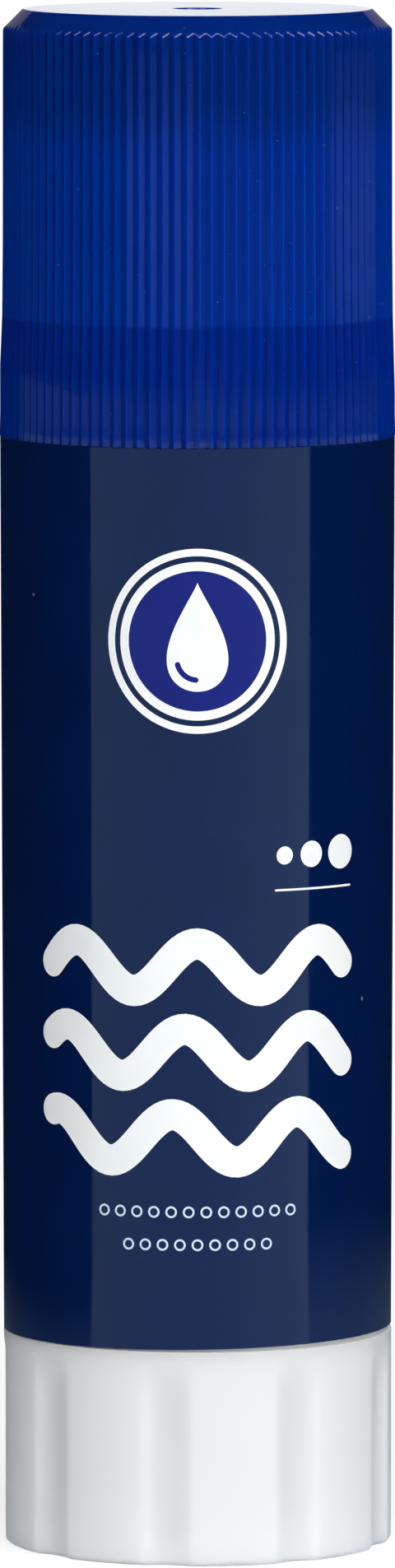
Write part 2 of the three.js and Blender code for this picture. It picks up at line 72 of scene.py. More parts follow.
def paint(red, green, blue):
    """A colour given as it looks on a screen, 0 to 255, as the linear one that shaders take."""
    def linear(value):
        share = value / 255
        return share / 12.92 if share <= 0.04045 else ((share + 0.055) / 1.055) ** 2.4
    return (linear(red), linear(green), linear(blue), 1.0)


# Cap: ribs, flare at the foot, crown and the hollow inside
CAP_RADIUS = reach_of("cap") - 0.05 * MM
CAP_FOOT = cap_low.z - 0.14 * MM
CAP_FOOT_ROUNDING = 0.05 * MM
CAP_LIP_RISE = 0.045 * MM
CAP_LIP_HEIGHT = 1.3 * MM
CAP_FLARE_START = 2.4 * MM
CAP_FLARE_LEAN = 0.8 * MM
CAP_FLARE_SIDE_RISE = 0.9 * MM
CAP_FLARE_WEAR = 0.25 * MM
CAP_FLARE_SEED = 7
CAP_FLARE_RINGS = (-0.02, 0.02, 0.25, 0.5, 0.75, 0.98)
CAP_BEND = label_high.z + 7.3 * MM
CAP_BEND_INSET = 0.125 * MM
CAP_WAIST = label_high.z + 12 * MM
CAP_WAIST_INSET = 0.17 * MM
CAP_CROWN_INSET = 0.2 * MM
CAP_CREASE = 0.06 * MM
CAP_CHAMFER = 1.2 * MM
CHAMFER_TURN = 45
CHAMFER_FOOT_MARGIN = 0.2 * MM
CAP_EDGE_ROUNDING = 0.26 * MM
CROWN_EDGE_ROUNDING = 0.14 * MM
CROWN_FACE_MARGIN = 0.12 * MM
CAP_TOP_WALL = 1.3 * MM
CAP_WALL = 0.8 * MM
CAP_UPPER_WALL = 1.1 * MM
CAP_STEP_ABOVE_FOOT = 7.25 * MM
CAP_STEP_HEIGHT = 0.3 * MM
GRIP_BOTTOM = 1.1 * MM
GRIP_HEIGHT = 0.8 * MM
GRIP_RISE = 0.1 * MM
SEAL_RADIUS = 10.35 * MM
SEAL_WALL = 0.7 * MM
SEAL_DROP = 5.9 * MM
GATE_RADIUS = 1.4 * MM
GATE_DEPTH = 0.5 * MM
GATE_EDGE = 0.1 * MM
GATE_MARGIN = 0.25 * MM
GATE_NUB_RADIUS = 0.35 * MM
GATE_NUB_SINK = 0.1 * MM
RIB_COUNT = 100
RIB_DEPTH = 0.21 * MM
RIB_ROUND_SHARE = 0.06
RIB_FLAT_MARGIN = 0.03
RIB_FIRST_ANGLE = math.radians(-89.4)

# Heights at which the cap's blue, painted in lighter and darker bands for the light through its wall, and
# its marks change
CAP_TONE_FADE = 0.1 * MM
CAP_SHADE_TOP = cap_low.z + 4.2 * MM
CAP_SHADE_BOTTOM = cap_low.z + 3.0 * MM
RIM_SHADE_BOTTOM = tube_high.z - 1.5 * MM
RIM_SHADE_TOP = tube_high.z + 2.5 * MM
NICKS_THICK_TOP = CAP_FOOT + 1.1 * MM
NICKS_THIN_BOTTOM = CAP_FOOT + 1.6 * MM
NICKS_FADE_BOTTOM = CAP_FOOT + 2.8 * MM
NICKS_FADE_TOP = CAP_FOOT + 3.4 * MM

# Label: a printed film wound once round the tube, its end lapped at the back
LABEL_FILM = 0.12 * MM
LABEL_LAP_RISE = 0.115 * MM
LABEL_LAP = math.radians(24.5)
LABEL_RAMP = math.radians(5)
LABEL_RADIUS = -label_low.x + 0.05 * MM
LABEL_FOOT_INSET = 0.16 * MM
LABEL_FOOT = tube_low.z + 0.01 * MM
LABEL_SKEW = 0.15 * MM
LABEL_SKEW_FADE = 3.0 * MM
LABEL_TURN_STEP = math.radians(3)
LABEL_SLOPE_STEP = 0.05 * MM
LABEL_EDGE_TOLERANCE = 0.002 * MM
# The weld of the label's triangles is in millimetres, in which they are worked out
LABEL_WELD = 1e-4

# Print: a drop in a ring, three dots over a rule, three waves and two rows of beads
EMBLEM_HEIGHT = 56.4 * MM
EMBLEM_RADIUS = 5.6 * MM
EMBLEM_RING_INSETS = (0.45 * MM, 0.8 * MM, 1.35 * MM)
DROP_LIFT = 0.25 * MM
DROP_HALF_WIDTH = 2.1 * MM
DROP_HALF_HEIGHT = 3.3 * MM
DROP_FULLNESS = 1.25
DROP_SHARPNESS = 1.4
SHINE_SINK = 1.1 * MM
SHINE_RADIUS = 1.25 * MM
SHINE_WIDTH = 0.34 * MM
SHINE_TURNS = np.radians(np.linspace(195, 265, 10))
WAVE_LEFT = -9.9 * MM
WAVE_RIGHT = 9.9 * MM
WAVE_WIDTH = 1.9 * MM
WAVE_RISE = 1.45 * MM
WAVE_PERIOD = 7.9 * MM
WAVE_SHIFT = 0.6
WAVE_HEIGHTS = (36.6 * MM, 31.4 * MM, 26.2 * MM)
RULE_HEIGHT = 41.2 * MM
RULE_LEFT = 4.9 * MM
RULE_RIGHT = 10.6 * MM
RULE_WIDTH = 0.13 * MM
DOT_HEIGHT = 43.3 * MM
DOT_RADII = (0.55 * MM, 0.8 * MM, 1.05 * MM)
DOT_PLACES = (5.5 * MM, 7.4 * MM, 9.75 * MM)
BEAD_ROWS = ((21.7 * MM, 12), (19.7 * MM, 9))
BEAD_PITCH = 1.08 * MM
BEAD_RADIUS = 0.36 * MM
BEAD_BORE = 0.24 * MM
EMBLEM_STEPS = 96
DOT_STEPS = 40
BEAD_STEPS = 24
BORE_STEPS = 20

# Twist knob: nine shallow flutes, a recessed foot and the collar that snaps into the tube
KNOB_RADIUS = reach_of("twist_knob")
KNOB_RIM_HEIGHT = tube_low.z - 0.03 * MM
KNOB_WALL = 1.3 * MM
KNOB_FLOOR = 1.4 * MM
KNOB_FOOT_FILLET = 0.4 * MM
KNOB_RIM_ROUNDING = 0.05 * MM
KNOB_COLUMNS_PER_FLUTE = 48
FLUTE_COUNT = 9
FLUTE_DEPTH = 0.42 * MM
FLUTE_ARC_RADIUS = 3.5 * MM
FLUTE_EDGE_SOFTNESS = 0.04 * MM
FLUTE_END_BELOW_RIM = 0.1 * MM
FLUTE_END_SLOPE = 3.4 * MM
FLUTE_END_RINGS = 9
FLUTE_SOFT_REACH = 8
FLUTE_FIRST_ANGLE = math.radians(-99)
FOOT_RING_WIDTH = 3.3 * MM
FOOT_RECESS = 0.4 * MM
FOOT_NUB_RADIUS = 0.8 * MM
FOOT_NUB_SINK = 0.15 * MM
FOOT_EDGE = 0.1 * MM
COLLAR_RADIUS = 9.3 * MM
COLLAR_WALL = 1.05 * MM
COLLAR_LEAD_IN = 0.3 * MM
SNAP_BEAD_RADIUS = 9.85 * MM
SNAP_BEAD_BOTTOM = 16.2 * MM
SNAP_BEAD_HEIGHT = 1.1 * MM
BOSS_RADIUS = 3.6 * MM
BOSS_LENGTH = 7.6 * MM
SOCKET_RADIUS = 2.42 * MM

# Tube: the white neck under the cap, and the bore with its four splines
BORE_RADIUS = 9.5 * MM
NECK_RADIUS = 10.9 * MM
NECK_THINNING = 0.3 * MM
NECK_SEAT_TOP = label_high.z + 6.8 * MM
RIM_ROUNDING = 0.35 * MM
SHOULDER_ROUNDING = 0.1 * MM
CAP_BEAD_RISE = 0.2 * MM
CAP_BEAD_HEIGHT = 1.2 * MM
CAP_BEAD_ABOVE_SHOULDER = 2.5 * MM
SHOULDER_RADIUS = 11.83 * MM
TUBE_FOOT_RADIUS = 11.71 * MM
TUBE_LEAD_IN = 0.5 * MM
GROOVE_RADIUS = 10.15 * MM
GROOVE_BOTTOM = 15.9 * MM
GROOVE_HEIGHT = 1.7 * MM
SPLINE_COUNT = 4
SPLINE_WIDTH = 1.2 * MM
SPLINE_RISE = 0.5 * MM
SPLINE_BELOW_RIM = 1.0 * MM
SPLINE_SLANT = math.radians(0.3)
SPLINE_END_STEP = 0.05 * MM
COLUMNS_BETWEEN_SPLINES = 40

# Glue: the bar above the carrier and the plug that fills the carrier's cup
GLUE_FOOT_RADIUS = 8.0 * MM
GLUE_RADIUS = 9.3 * MM
GLUE_EDGE_ROUNDING = 0.7 * MM
GLUE_CROWN = 0.25 * MM
GLUE_CORE_RADIUS = 3.6 * MM
GLUE_TOP_COVER = 3.5 * MM
GLUE_HUB_RADIUS = 4.9 * MM
GLUE_HUB_TOP = 27.3 * MM
GLUE_CUP_GAP = 0.3 * MM
GLUE_PARTING = 0.05 * MM
GLUE_DOME_RINGS = (0.85, 0.7, 0.5, 0.25)

# Facets of round shapes
ROUND_COLUMNS = 192
CORNER_STEPS = 4
SHARP_TURN = 38
GLUE_SHARP_TURN = 50

# Camera and picture
PICTURE_HEIGHT = 1905
CAMERA_DISTANCE = 835.8 * MM
CAMERA_HEIGHT = 128.9 * MM
CAMERA_TILT = math.radians(5.625)
CAMERA_FOCUS_PIXELS = 16673
SENSOR_LONG_SIDE = 36
CAMERA_NEAR = 0.05
CAMERA_FAR = 20

# Colours of the finishes. Where there are two, the finish drifts between them
# Painted light and shade on the cap: its blue is lighter above the bend and darker below it, over the tube's
# rim and near the foot, for the light through its see-through wall
CAP_SHADED_BLUE_BELOW_BEND = paint(0, 32, 128)
CAP_LIT_BLUE_ABOVE_BEND = paint(1, 44, 142)
CAP_SHADED_BLUE_OVER_RIM = paint(1, 36, 119)
CAP_SHADED_BLUE_NEAR_FOOT = paint(2, 36, 128)
CAP_SMUDGE_BLUE = paint(4, 60, 160)
CAP_DUST = paint(110, 140, 215)
FILM_DUST = paint(150, 160, 190)
PLASTIC_DUST = paint(170, 172, 176)
NAVY = (paint(1, 22, 66), paint(2, 26, 74))
INK_WHITE = (paint(243, 246, 246), paint(237, 242, 243))
INK_BLUE = (paint(8, 16, 112), paint(12, 22, 122))
INK_PALE = (paint(206, 222, 240), paint(196, 214, 236))
KNOB_TONES = (paint(252, 254, 255), paint(250, 253, 254))
TUBE_TONES = (paint(240, 242, 243), paint(234, 237, 239))
SCREW_TONES = (paint(226, 229, 231), paint(220, 223, 226))
GLUE_TONES = (paint(236, 233, 222), paint(248, 247, 242))

# Roughness, softness and marks of the finishes. Fineness is in waves per metre
CAP_ROUGHNESS = 0.05
CAP_RIB_ROUGHNESS = 0.02
CAP_STREAK_ROUGHNESS = 0.02
CAP_SCUFF_ROUGHNESS = 0.06
CAP_LIGHT_DEPTH = 2.2 * MM
CAP_LIGHT_SPREAD = (0.2, 0.5, 1.0)
CAP_STREAK_HEIGHT = 0.5
CAP_SMUDGE_SHARE = 0.1
CAP_SMUDGE_RANGE = (0.35, 0.65)
NICK_HEIGHT = 4.5
NICK_RANGE = (0.52, 0.62)
NICK_CLUSTER_RANGE = (0.5, 0.6)
NICKS_THIN = 0.3
SCUFF_LAYERS = ((0.4, 2600.0), (1.9, 3400.0))
SCUFF_ALONG = 160.0
SCUFF_TILT = 0.3
SCUFF_SWAY = 0.7
SCUFF_RANGE = (0.66, 0.72)
SOFT_RANGE = (0.3, 0.7)
FILM_ROUGHNESS = 0.06
INK_ROUGHNESS = 0.08
FILM_UNEVENNESS = 0.5
FILM_SMUDGE_RANGE = (0.5, 0.75)
FILM_WEAR_ROUGHNESS = 0.05
PLASTIC_SCUFF_ROUGHNESS = 0.1
WHITE_SOFTNESS = 0.8
TUBE_LIGHT_DEPTH = 1.6 * MM
KNOB_LIGHT_DEPTH = 4 * MM
GLUE_SOFTNESS = 0.35
GLUE_LIGHT_DEPTH = 2 * MM
GLUE_ROUGHNESS = 0.3
GLUE_MARK_ROUGHNESS = 0.3
GLUE_MARK_STRETCH = (90.0, 900.0, 400.0)

# Floor: pale paper that fades outwards, and what the gloss sees of it
WHITE = (1.0, 1.0, 1.0, 1.0)
FLOOR_RADIUS = 3.0
FLOOR_CORNERS = 64
PAPER_NEAR = paint(240, 241, 242)
PAPER_FAR = paint(110, 111, 112)
PAPER_SEEN = paint(150, 151, 152)
PAPER_FADE = (0.15, 0.35)
PAPER_LIFT = 0.75
PAPER_LIFT_FADE = (0.1, 0.6)
DARK = (0.004, 0.009, 0.03, 1.0)
NEAR_REACH = 0.152
NEAR_REACH_TO_RIGHT = 0.025
NEAR_FADE = (0.52, 1.0)
SIDE_GLOW = 0.42
SIDE_GLOW_AHEAD = 0.33
FAR_START = 0.93
FAR_START_FADE = 0.03
FAR_END = 2.1
FAR_END_FADE = 0.3
FAR_RIGHT = {"fade": (0.34, 0.4), "colour": (0.3, 0.38, 0.66, 1.0)}
FAR_LEFT = {"fade": (-0.34, -0.4), "colour": (0.02, 0.06, 0.08, 1.0)}
FAR_SIDE_LIMIT = 0.915

# Card: a low curved sheet before the stick
CARD_DISTANCE = 0.15
CARD_HEIGHT = 66 * MM
CARD_END_RISE = 3 * MM
CARD_WAVE = 0.6 * MM
CARD_WAVE_COUNT = 40
CARD_COLUMNS = 96
CARD_LEFT = math.radians(62.7)
CARD_RIGHT = math.radians(66.3)
CARD_EDGE_FADE = 0.01
CARD_COLOUR = (0.54, 0.76, 1.0, 1.0)
CARD_TOP_COLOUR = (0.3, 0.48, 0.85, 1.0)
CARD_TOP_EDGE = 57.6 * MM
CARD_TOP_FADE = 1.2 * MM
CARD_TOP_GLOW = 0.46
CARD_TOP_LOSS = 0.22
CARD_TOP_LOSS_RANGE = (0.0, 0.5)
GLOW = 0.62
GLOW_TO_RIGHT = 0.136
GLOW_TO_SIDES = 0.3

# Sky: what the gloss sees behind the stick, in degrees aside and up, and the faint light from the front
LOW_WHITE = {"half_width": 2.5, "side_fade": 0.0006, "lowest": -2, "highest": 9, "fade": 0.03}
HIGH_GREY = {"half_width": 30, "side_fade": 0.03, "lowest": -3, "highest": 19, "fade": 0.03}
WHITE_STRIP = {"half_width": 7, "side_fade": 0.003, "lowest": 7, "highest": 12, "fade": 0.02}
LOW_WHITE_LEVEL = 1.2
HIGH_GREY_LEVEL = 0.24
WHITE_STRIP_LEVEL = 2.0
DARK_SKY_LEVEL = 0.01
DARK_SKY_TINT = (0.8, 0.78, 1.0, 1.0)
BRIGHT_SKY_TINT = (0.94, 0.98, 1.0, 1.0)
FILL_TINT = (0.9, 0.96, 1.0, 1.0)
FILL_LEVEL = 0.015
FILL_AZIMUTH = 8
FILL_ELEVATION = 30

# Lamps: name, azimuth, elevation, distance, width and power. Azimuth 0 is the front and 90 the right
LAMPS = (
    ("key_lamp", 33, 35, 0.9, 0.75, 8.1),
    ("fill_lamp", -30, 37, 0.9, 0.45, 3.1),
    ("rear_lamp", 178, 50, 0.9, 0.4, 1.0),
)


# Shapes


def polar(radius, angle, height):
    return (radius * math.cos(angle), radius * math.sin(angle), height)


def even_turn(count, first=0.0):
    return [first + 2 * math.pi * i / count for i in range(count)]


def smooth_step(low, high, value):
    """0 below low, 1 above high, with a smooth rise between them."""
    share = min(1.0, max(0.0, (value - low) / (high - low)))
    return share * share * (3 - 2 * share)


def arc(radius, height, rounding, start, end, steps=CORNER_STEPS):
    """Points (radius, height) of a round about a centre, from one angle to another in degrees."""
    angles = [math.radians(start + (end - start) * i / steps) for i in range(steps + 1)]
    return [(radius + rounding * math.cos(a), height + rounding * math.sin(a)) for a in angles]


def finish_mesh(obj, finishes, sharp):
    for finish in finishes:
        obj.data.materials.append(finish)
    obj.data.shade_smooth()
    if sharp is not None:
        obj.data.set_sharp_from_angle(angle=math.radians(sharp))


def skin(name, rings, finish, closed=False, sharp=SHARP_TURN):
    """A closed piece through rings of points. A ring of one point closes it on the axis."""
    points = [p for ring in rings for p in ring]
    starts = np.cumsum([0] + [len(ring) for ring in rings])
    pairs = list(zip(range(len(rings) - 1), range(1, len(rings))))
    if closed:
        pairs.append((len(rings) - 1, 0))
    faces = []
    for low, high in pairs:
        a, b = int(starts[low]), int(starts[high])
        count = max(len(rings[low]), len(rings[high]))
        for i in range(count):
            j = (i + 1) % count
            if len(rings[low]) == 1:
                faces.append((a, b + j, b + i))
            elif len(rings[high]) == 1:
                faces.append((a + i, a + j, b))
            else:
                faces.append((a + i, a + j, b + j, b + i))
    mesh = bpy.data.meshes.new(name)
    mesh.from_pydata(points, [], faces)
    return placed(name, mesh, [finish], sharp)


def placed(name, mesh, finishes, sharp):
    """Puts a mesh into the scene with its normals outwards and its finishes on."""
    shell = bmesh.new()
    shell.from_mesh(mesh)
    bmesh.ops.recalc_face_normals(shell, faces=shell.faces)
    shell.to_mesh(mesh)
    shell.free()
    obj = bpy.data.objects.new(name, mesh)
    bpy.context.scene.collection.objects.link(obj)
    finish_mesh(obj, finishes, sharp)
    return obj


def turned(name, profile, finish, closed=False, columns=ROUND_COLUMNS, sharp=SHARP_TURN):
    """A piece turned about the stick's axis from points (radius, height)."""
    angles = even_turn(columns)
    rings = []
    for radius, height in profile:
        if radius == 0:
            rings.append([(0.0, 0.0, height)])
        else:
            rings.append([polar(radius, a, height) for a in angles])
    return skin(name, rings, finish, closed, sharp)


# Finishes


def add(tree, kind, values=None, **settings):
    """One shader node with its settings and the values of its open sockets."""
    made = tree.nodes.new(kind)
    for key, value in settings.items():
        setattr(made, key, value)
    for key, value in (values or {}).items():
        made.inputs[key].default_value = value
    return made


def feed(tree, part, socket):
    """Links a socket into an input, or sets the input to a plain value."""
    if isinstance(part, bpy.types.NodeSocket):
        tree.links.new(part, socket)
    else:
        socket.default_value = part


def calc(tree, operation, *parts):
    """A Math node of sockets and plain numbers."""
    made = add(tree, "ShaderNodeMath", operation=operation)
    for part, socket in zip(parts, made.inputs):
        feed(tree, part, socket)
    return made.outputs[0]


def product(tree, first, *others):
    """The product of sockets and plain numbers."""
    for other in others:
        first = calc(tree, "MULTIPLY", first, other)
    return first


def plus(tree, base, *shares):
    """A base number or socket, with each mask times its amount added to it."""
    for mask, amount in shares:
        base = calc(tree, "MULTIPLY_ADD", mask, amount, base)
    return base


def mixed(tree, kind, slots, parts):
    """A Mix node. The slots are those of its share, of its two values and of its result."""
    made = add(tree, "ShaderNodeMix", data_type=kind)
    for slot, part in zip(slots, parts):
        feed(tree, part, made.inputs[slot])
    return made.outputs[slots[-1]]


def blend_colours(tree, share, first, second):
    return mixed(tree, "RGBA", (0, 6, 7, 2), (share, first, second))


def blend_numbers(tree, share, first, second):
    return mixed(tree, "FLOAT", (0, 2, 3, 0), (share, first, second))


def rise(tree, value, low, high):
    """A smooth rise from 0 to 1 as a socket's value goes from low to high."""
    made = add(tree, "ShaderNodeMapRange", interpolation_type="SMOOTHSTEP")
    made.inputs["From Min"].default_value = low
    made.inputs["From Max"].default_value = high
    tree.links.new(value, made.inputs["Value"])
    return made.outputs["Result"]


def place_of(tree, kind="Object"):
    """The place by which textures are laid."""
    return add(tree, "ShaderNodeTexCoord").outputs[kind]


def axes_of(tree, place):
    """The X, Y and Z sockets of a place."""
    made = add(tree, "ShaderNodeSeparateXYZ")
    tree.links.new(place, made.inputs[0])
    return [made.outputs[axis] for axis in "XYZ"]


def noise(tree, place, scale, detail, roughness=0.5):
    """A soft noise from 0 to 1. Its scale is in waves per metre of the place."""
    made = add(tree, "ShaderNodeTexNoise", {"Detail": detail, "Roughness": roughness})
    tree.links.new(place, made.inputs["Vector"])
    feed(tree, scale, made.inputs["Scale"])
    return made.outputs["Fac"]


def effect(name, inputs, outputs):
    """An empty shader node group with named float sockets: those it is given and those it puts out."""
    group = bpy.data.node_groups.new(name, "ShaderNodeTree")
    for socket, value in inputs.items():
        made = group.interface.new_socket(name=socket, in_out="INPUT", socket_type="NodeSocketFloat")
        made.default_value = value
    for socket in outputs:
        group.interface.new_socket(name=socket, in_out="OUTPUT", socket_type="NodeSocketFloat")
    return group, add(group, "NodeGroupInput").outputs, add(group, "NodeGroupOutput").inputs


def use(tree, group, **values):
    made = tree.nodes.new("ShaderNodeGroup")
    made.node_tree = group
    for key, value in values.items():
        made.inputs[key].default_value = value
    return made.outputs


def dust_effect():
    """Sparse round specks, one in some of the cells of a grid."""
    group, given, result = effect("dust_specks", {"Cells": 900.0, "Share": 0.04, "Size": 0.16}, ["Mask"])
    cells = add(group, "ShaderNodeTexVoronoi", feature="F1")
    group.links.new(place_of(group), cells.inputs["Vector"])
    group.links.new(given["Cells"], cells.inputs["Scale"])
    chosen = add(group, "ShaderNodeSeparateColor")
    group.links.new(cells.outputs["Color"], chosen.inputs[0])
    in_cell = calc(group, "LESS_THAN", chosen.outputs[0], given["Share"])
    near = calc(group, "LESS_THAN", cells.outputs["Distance"], given["Size"])
    group.links.new(product(group, in_cell, near), result["Mask"])
    return group


def streak_effect():
    """Fine level streaks round the stick, as a mould or a turning tool leaves them."""
    group, given, result = effect("level_streaks", {"Fineness": 4500.0, "Length": 500.0}, ["Mask"])
    packed = add(group, "ShaderNodeCombineXYZ")
    stretches = (given["Length"], given["Length"], given["Fineness"])
    for axis, stretch, socket in zip(axes_of(group, place_of(group)), stretches, packed.inputs):
        group.links.new(product(group, axis, stretch), socket)
    streaks = noise(group, packed.outputs[0], scale=1.0, detail=3.0, roughness=0.6)
    group.links.new(streaks, result["Mask"])
    return group


def wear_effect():
    """Hairline scuffs in a few directions, and soft smudges from handling."""
    scales = {"Scuff Scale": 1.0, "Smudge Scale": 90.0}
    group, given, result = effect("handling_wear", scales, ["Scuffs", "Smudges"])
    place = place_of(group)
    layers = []
    for turn, stretch in SCUFF_LAYERS:
        turns = (turn, SCUFF_TILT, turn * SCUFF_SWAY)
        stretches = (stretch, SCUFF_ALONG, SCUFF_ALONG)
        laid = add(group, "ShaderNodeMapping", {"Rotation": turns, "Scale": stretches})
        group.links.new(place, laid.inputs["Vector"])
        lines = noise(group, laid.outputs[0], given["Scuff Scale"], detail=1.0)
        layers.append(rise(group, lines, *SCUFF_RANGE))
    group.links.new(calc(group, "MAXIMUM", *layers), result["Scuffs"])
    group.links.new(noise(group, place, given["Smudge Scale"], detail=3.0), result["Smudges"])
    return group


dust_specks = dust_effect()
level_streaks = streak_effect()
handling_wear = wear_effect()


def plastic(name, **values):
    """A material with its node tree and its Principled shader."""
    material = bpy.data.materials.new(name)
    material.use_nodes = True
    tree = material.node_tree
    shader = tree.nodes["Principled BSDF"]
    for key, value in values.items():
        shader.inputs[key.replace("_", " ")].default_value = value
    return material, tree, shader


def softness(weight, depth, spread):
    """How far light goes into a plastic, and how far each of its colours."""
    return {"Subsurface_Weight": weight, "Subsurface_Scale": depth, "Subsurface_Radius": spread}


def dusted(tree, colour, dust_colour, strength, **specks):
    """A colour with dust specks on it."""
    mask = use(tree, dust_specks, **specks)["Mask"]
    return blend_colours(tree, product(tree, mask, strength), colour, dust_colour)


def bump(tree, shader, height, strength, distance):
    made = add(tree, "ShaderNodeBump", {"Strength": strength, "Distance": distance})
    tree.links.new(height, made.inputs["Height"])
    tree.links.new(made.outputs[0], shader.inputs["Normal"])


def cap_nicks(tree, place, height):
    """Clustered short level nicks in the lower part of the cap, thickest at its foot."""
    fine = use(tree, level_streaks, Fineness=9000.0, Length=1500.0)["Mask"]
    clusters = noise(tree, place, scale=420.0, detail=1.0)
    worn = product(tree, rise(tree, fine, *NICK_RANGE), rise(tree, clusters, *NICK_CLUSTER_RANGE))
    thick = rise(tree, height, NICKS_THIN_BOTTOM, NICKS_THICK_TOP)
    low = plus(tree, NICKS_THIN, (thick, 1 - NICKS_THIN))
    low = product(tree, low, rise(tree, height, NICKS_FADE_TOP, NICKS_FADE_BOTTOM))
    return product(tree, worn, low)


def cap_plastic():
    """Dyed blue plastic, a little see-through. Its blue is painted in bands by height: painted shade over
    the tube's rim, where nothing white lies behind it, near the foot and below the bend, and lighter above
    the bend.
    """
    depth = softness(1.0, CAP_LIGHT_DEPTH, CAP_LIGHT_SPREAD)
    material, tree, shader = plastic("cap_plastic", IOR=1.5, **depth)
    place = place_of(tree)
    height = axes_of(tree, place)[2]
    # Painted shade: the blue is darker below the bend, over the tube's rim and near the foot, and lighter
    # above the bend
    over_bend = rise(tree, height, CAP_BEND - CAP_TONE_FADE, CAP_BEND + CAP_TONE_FADE)
    over_rim = rise(tree, height, RIM_SHADE_BOTTOM, RIM_SHADE_TOP)
    near_foot = rise(tree, height, CAP_SHADE_TOP, CAP_SHADE_BOTTOM)
    body = blend_colours(tree, over_bend, CAP_SHADED_BLUE_BELOW_BEND, CAP_LIT_BLUE_ABOVE_BEND)
    body = blend_colours(tree, over_rim, body, CAP_SHADED_BLUE_OVER_RIM)
    body = blend_colours(tree, near_foot, body, CAP_SHADED_BLUE_NEAR_FOOT)
    wear = use(tree, handling_wear)
    smudged = product(tree, rise(tree, wear["Smudges"], *CAP_SMUDGE_RANGE), CAP_SMUDGE_SHARE)
    body = blend_colours(tree, smudged, body, CAP_SMUDGE_BLUE)
    body = dusted(tree, body, CAP_DUST, strength=0.5, Cells=2500.0, Share=0.065, Size=0.11)
    tree.links.new(body, shader.inputs["Base Color"])
    streaks = use(tree, level_streaks)["Mask"]
    edge = cap_high.z - CAP_CHAMFER
    moulded = calc(tree, "SUBTRACT", 1.0, rise(tree, height, edge - CAP_TONE_FADE, edge))
    marked = plus(tree, CAP_RIB_ROUGHNESS, (streaks, CAP_STREAK_ROUGHNESS))
    marked = plus(tree, marked, (wear["Scuffs"], CAP_SCUFF_ROUGHNESS))
    tree.links.new(plus(tree, CAP_ROUGHNESS, (marked, moulded)), shader.inputs["Roughness"])
    uneven = product(tree, calc(tree, "SUBTRACT", streaks, 0.5), CAP_STREAK_HEIGHT)
    marks = plus(tree, uneven, (cap_nicks(tree, place, height), NICK_HEIGHT))
    bump(tree, shader, product(tree, marks, moulded), strength=0.1, distance=0.01 * MM)
    return material


def film(name, tones, roughness=FILM_ROUGHNESS):
    """Printed and varnished film: one ink, with its faint unevenness and smudges."""
    material, tree, shader = plastic(name, IOR=1.5)
    place = place_of(tree)
    uneven = rise(tree, noise(tree, place, scale=260.0, detail=4.0), *SOFT_RANGE)
    colour = blend_colours(tree, product(tree, uneven, FILM_UNEVENNESS), *tones)
    colour = dusted(tree, colour, FILM_DUST, strength=0.35, Cells=500.0, Share=0.012, Size=0.06)
    tree.links.new(colour, shader.inputs["Base Color"])
    wear = use(tree, handling_wear)
    smudged = rise(tree, wear["Smudges"], *FILM_SMUDGE_RANGE)
    shine = plus(tree, roughness, (smudged, FILM_WEAR_ROUGHNESS), (wear["Scuffs"], FILM_WEAR_ROUGHNESS))
    tree.links.new(shine, shader.inputs["Roughness"])
    ripple = noise(tree, place, scale=420.0, detail=2.0)
    bump(tree, shader, ripple, strength=0.06, distance=0.05 * MM)
    return material


def white_plastic(name, tones, roughness, grain, depth=TUBE_LIGHT_DEPTH):
    """White moulded plastic, a little translucent, with a faint skin texture."""
    material, tree, shader = plastic(name, IOR=1.49, **softness(WHITE_SOFTNESS, depth, (1.0, 1.0, 1.0)))
    place = place_of(tree)
    cloud = rise(tree, noise(tree, place, scale=120.0, detail=3.0), *SOFT_RANGE)
    colour = blend_colours(tree, cloud, *tones)
    colour = dusted(tree, colour, PLASTIC_DUST, strength=0.3, Cells=420.0, Share=0.012, Size=0.06)
    tree.links.new(colour, shader.inputs["Base Color"])
    scuffs = use(tree, handling_wear)["Scuffs"]
    tree.links.new(plus(tree, roughness, (scuffs, PLASTIC_SCUFF_ROUGHNESS)), shader.inputs["Roughness"])
    texture = noise(tree, place, scale=grain, detail=3.0)
    bump(tree, shader, texture, strength=0.12, distance=0.02 * MM)
    return material


def glue_solid():
    """Waxy off-white glue with the level marks that rubbing leaves on it."""
    depth = {"Subsurface_Weight": GLUE_SOFTNESS, "Subsurface_Scale": GLUE_LIGHT_DEPTH}
    material, tree, shader = plastic("glue", IOR=1.45, **depth)
    place = place_of(tree)
    colour = blend_colours(tree, noise(tree, place, scale=260.0, detail=5.0), *GLUE_TONES)
    tree.links.new(colour, shader.inputs["Base Color"])
    rubbed = add(tree, "ShaderNodeMapping", {"Scale": GLUE_MARK_STRETCH})
    tree.links.new(place, rubbed.inputs["Vector"])
    marks = noise(tree, rubbed.outputs[0], scale=1.0, detail=4.0)
    tree.links.new(plus(tree, GLUE_ROUGHNESS, (marks, GLUE_MARK_ROUGHNESS)), shader.inputs["Roughness"])
    bump(tree, shader, marks, strength=0.4, distance=0.08 * MM)
    return material


cap_blue = cap_plastic()
film_navy = film("film_navy", NAVY)
ink_white = film("ink_white", INK_WHITE, INK_ROUGHNESS)
ink_blue = film("ink_blue", INK_BLUE)
ink_pale = film("ink_pale", INK_PALE, INK_ROUGHNESS)
knob_white = white_plastic("knob_white", KNOB_TONES, roughness=0.32, grain=2200.0, depth=KNOB_LIGHT_DEPTH)
tube_white = white_plastic("tube_white", TUBE_TONES, roughness=0.28, grain=2600.0)
screw_white = white_plastic("screw_white", SCREW_TONES, roughness=0.4, grain=2400.0)
glue_white = glue_solid()


# Cap


def rib_dip(share):
    """How far a rib's straight, round-ended flank lies inside its crest, as a share of its depth."""
    a, half = abs(share), RIB_ROUND_SHARE
    slope = 1 / (0.5 - half)
    if a < half:
        return slope * a * a / (2 * half)
    if a > 0.5 - half:
        return 1 - slope * (0.5 - a) ** 2 / (2 * half)
    return slope * (a - half / 2)


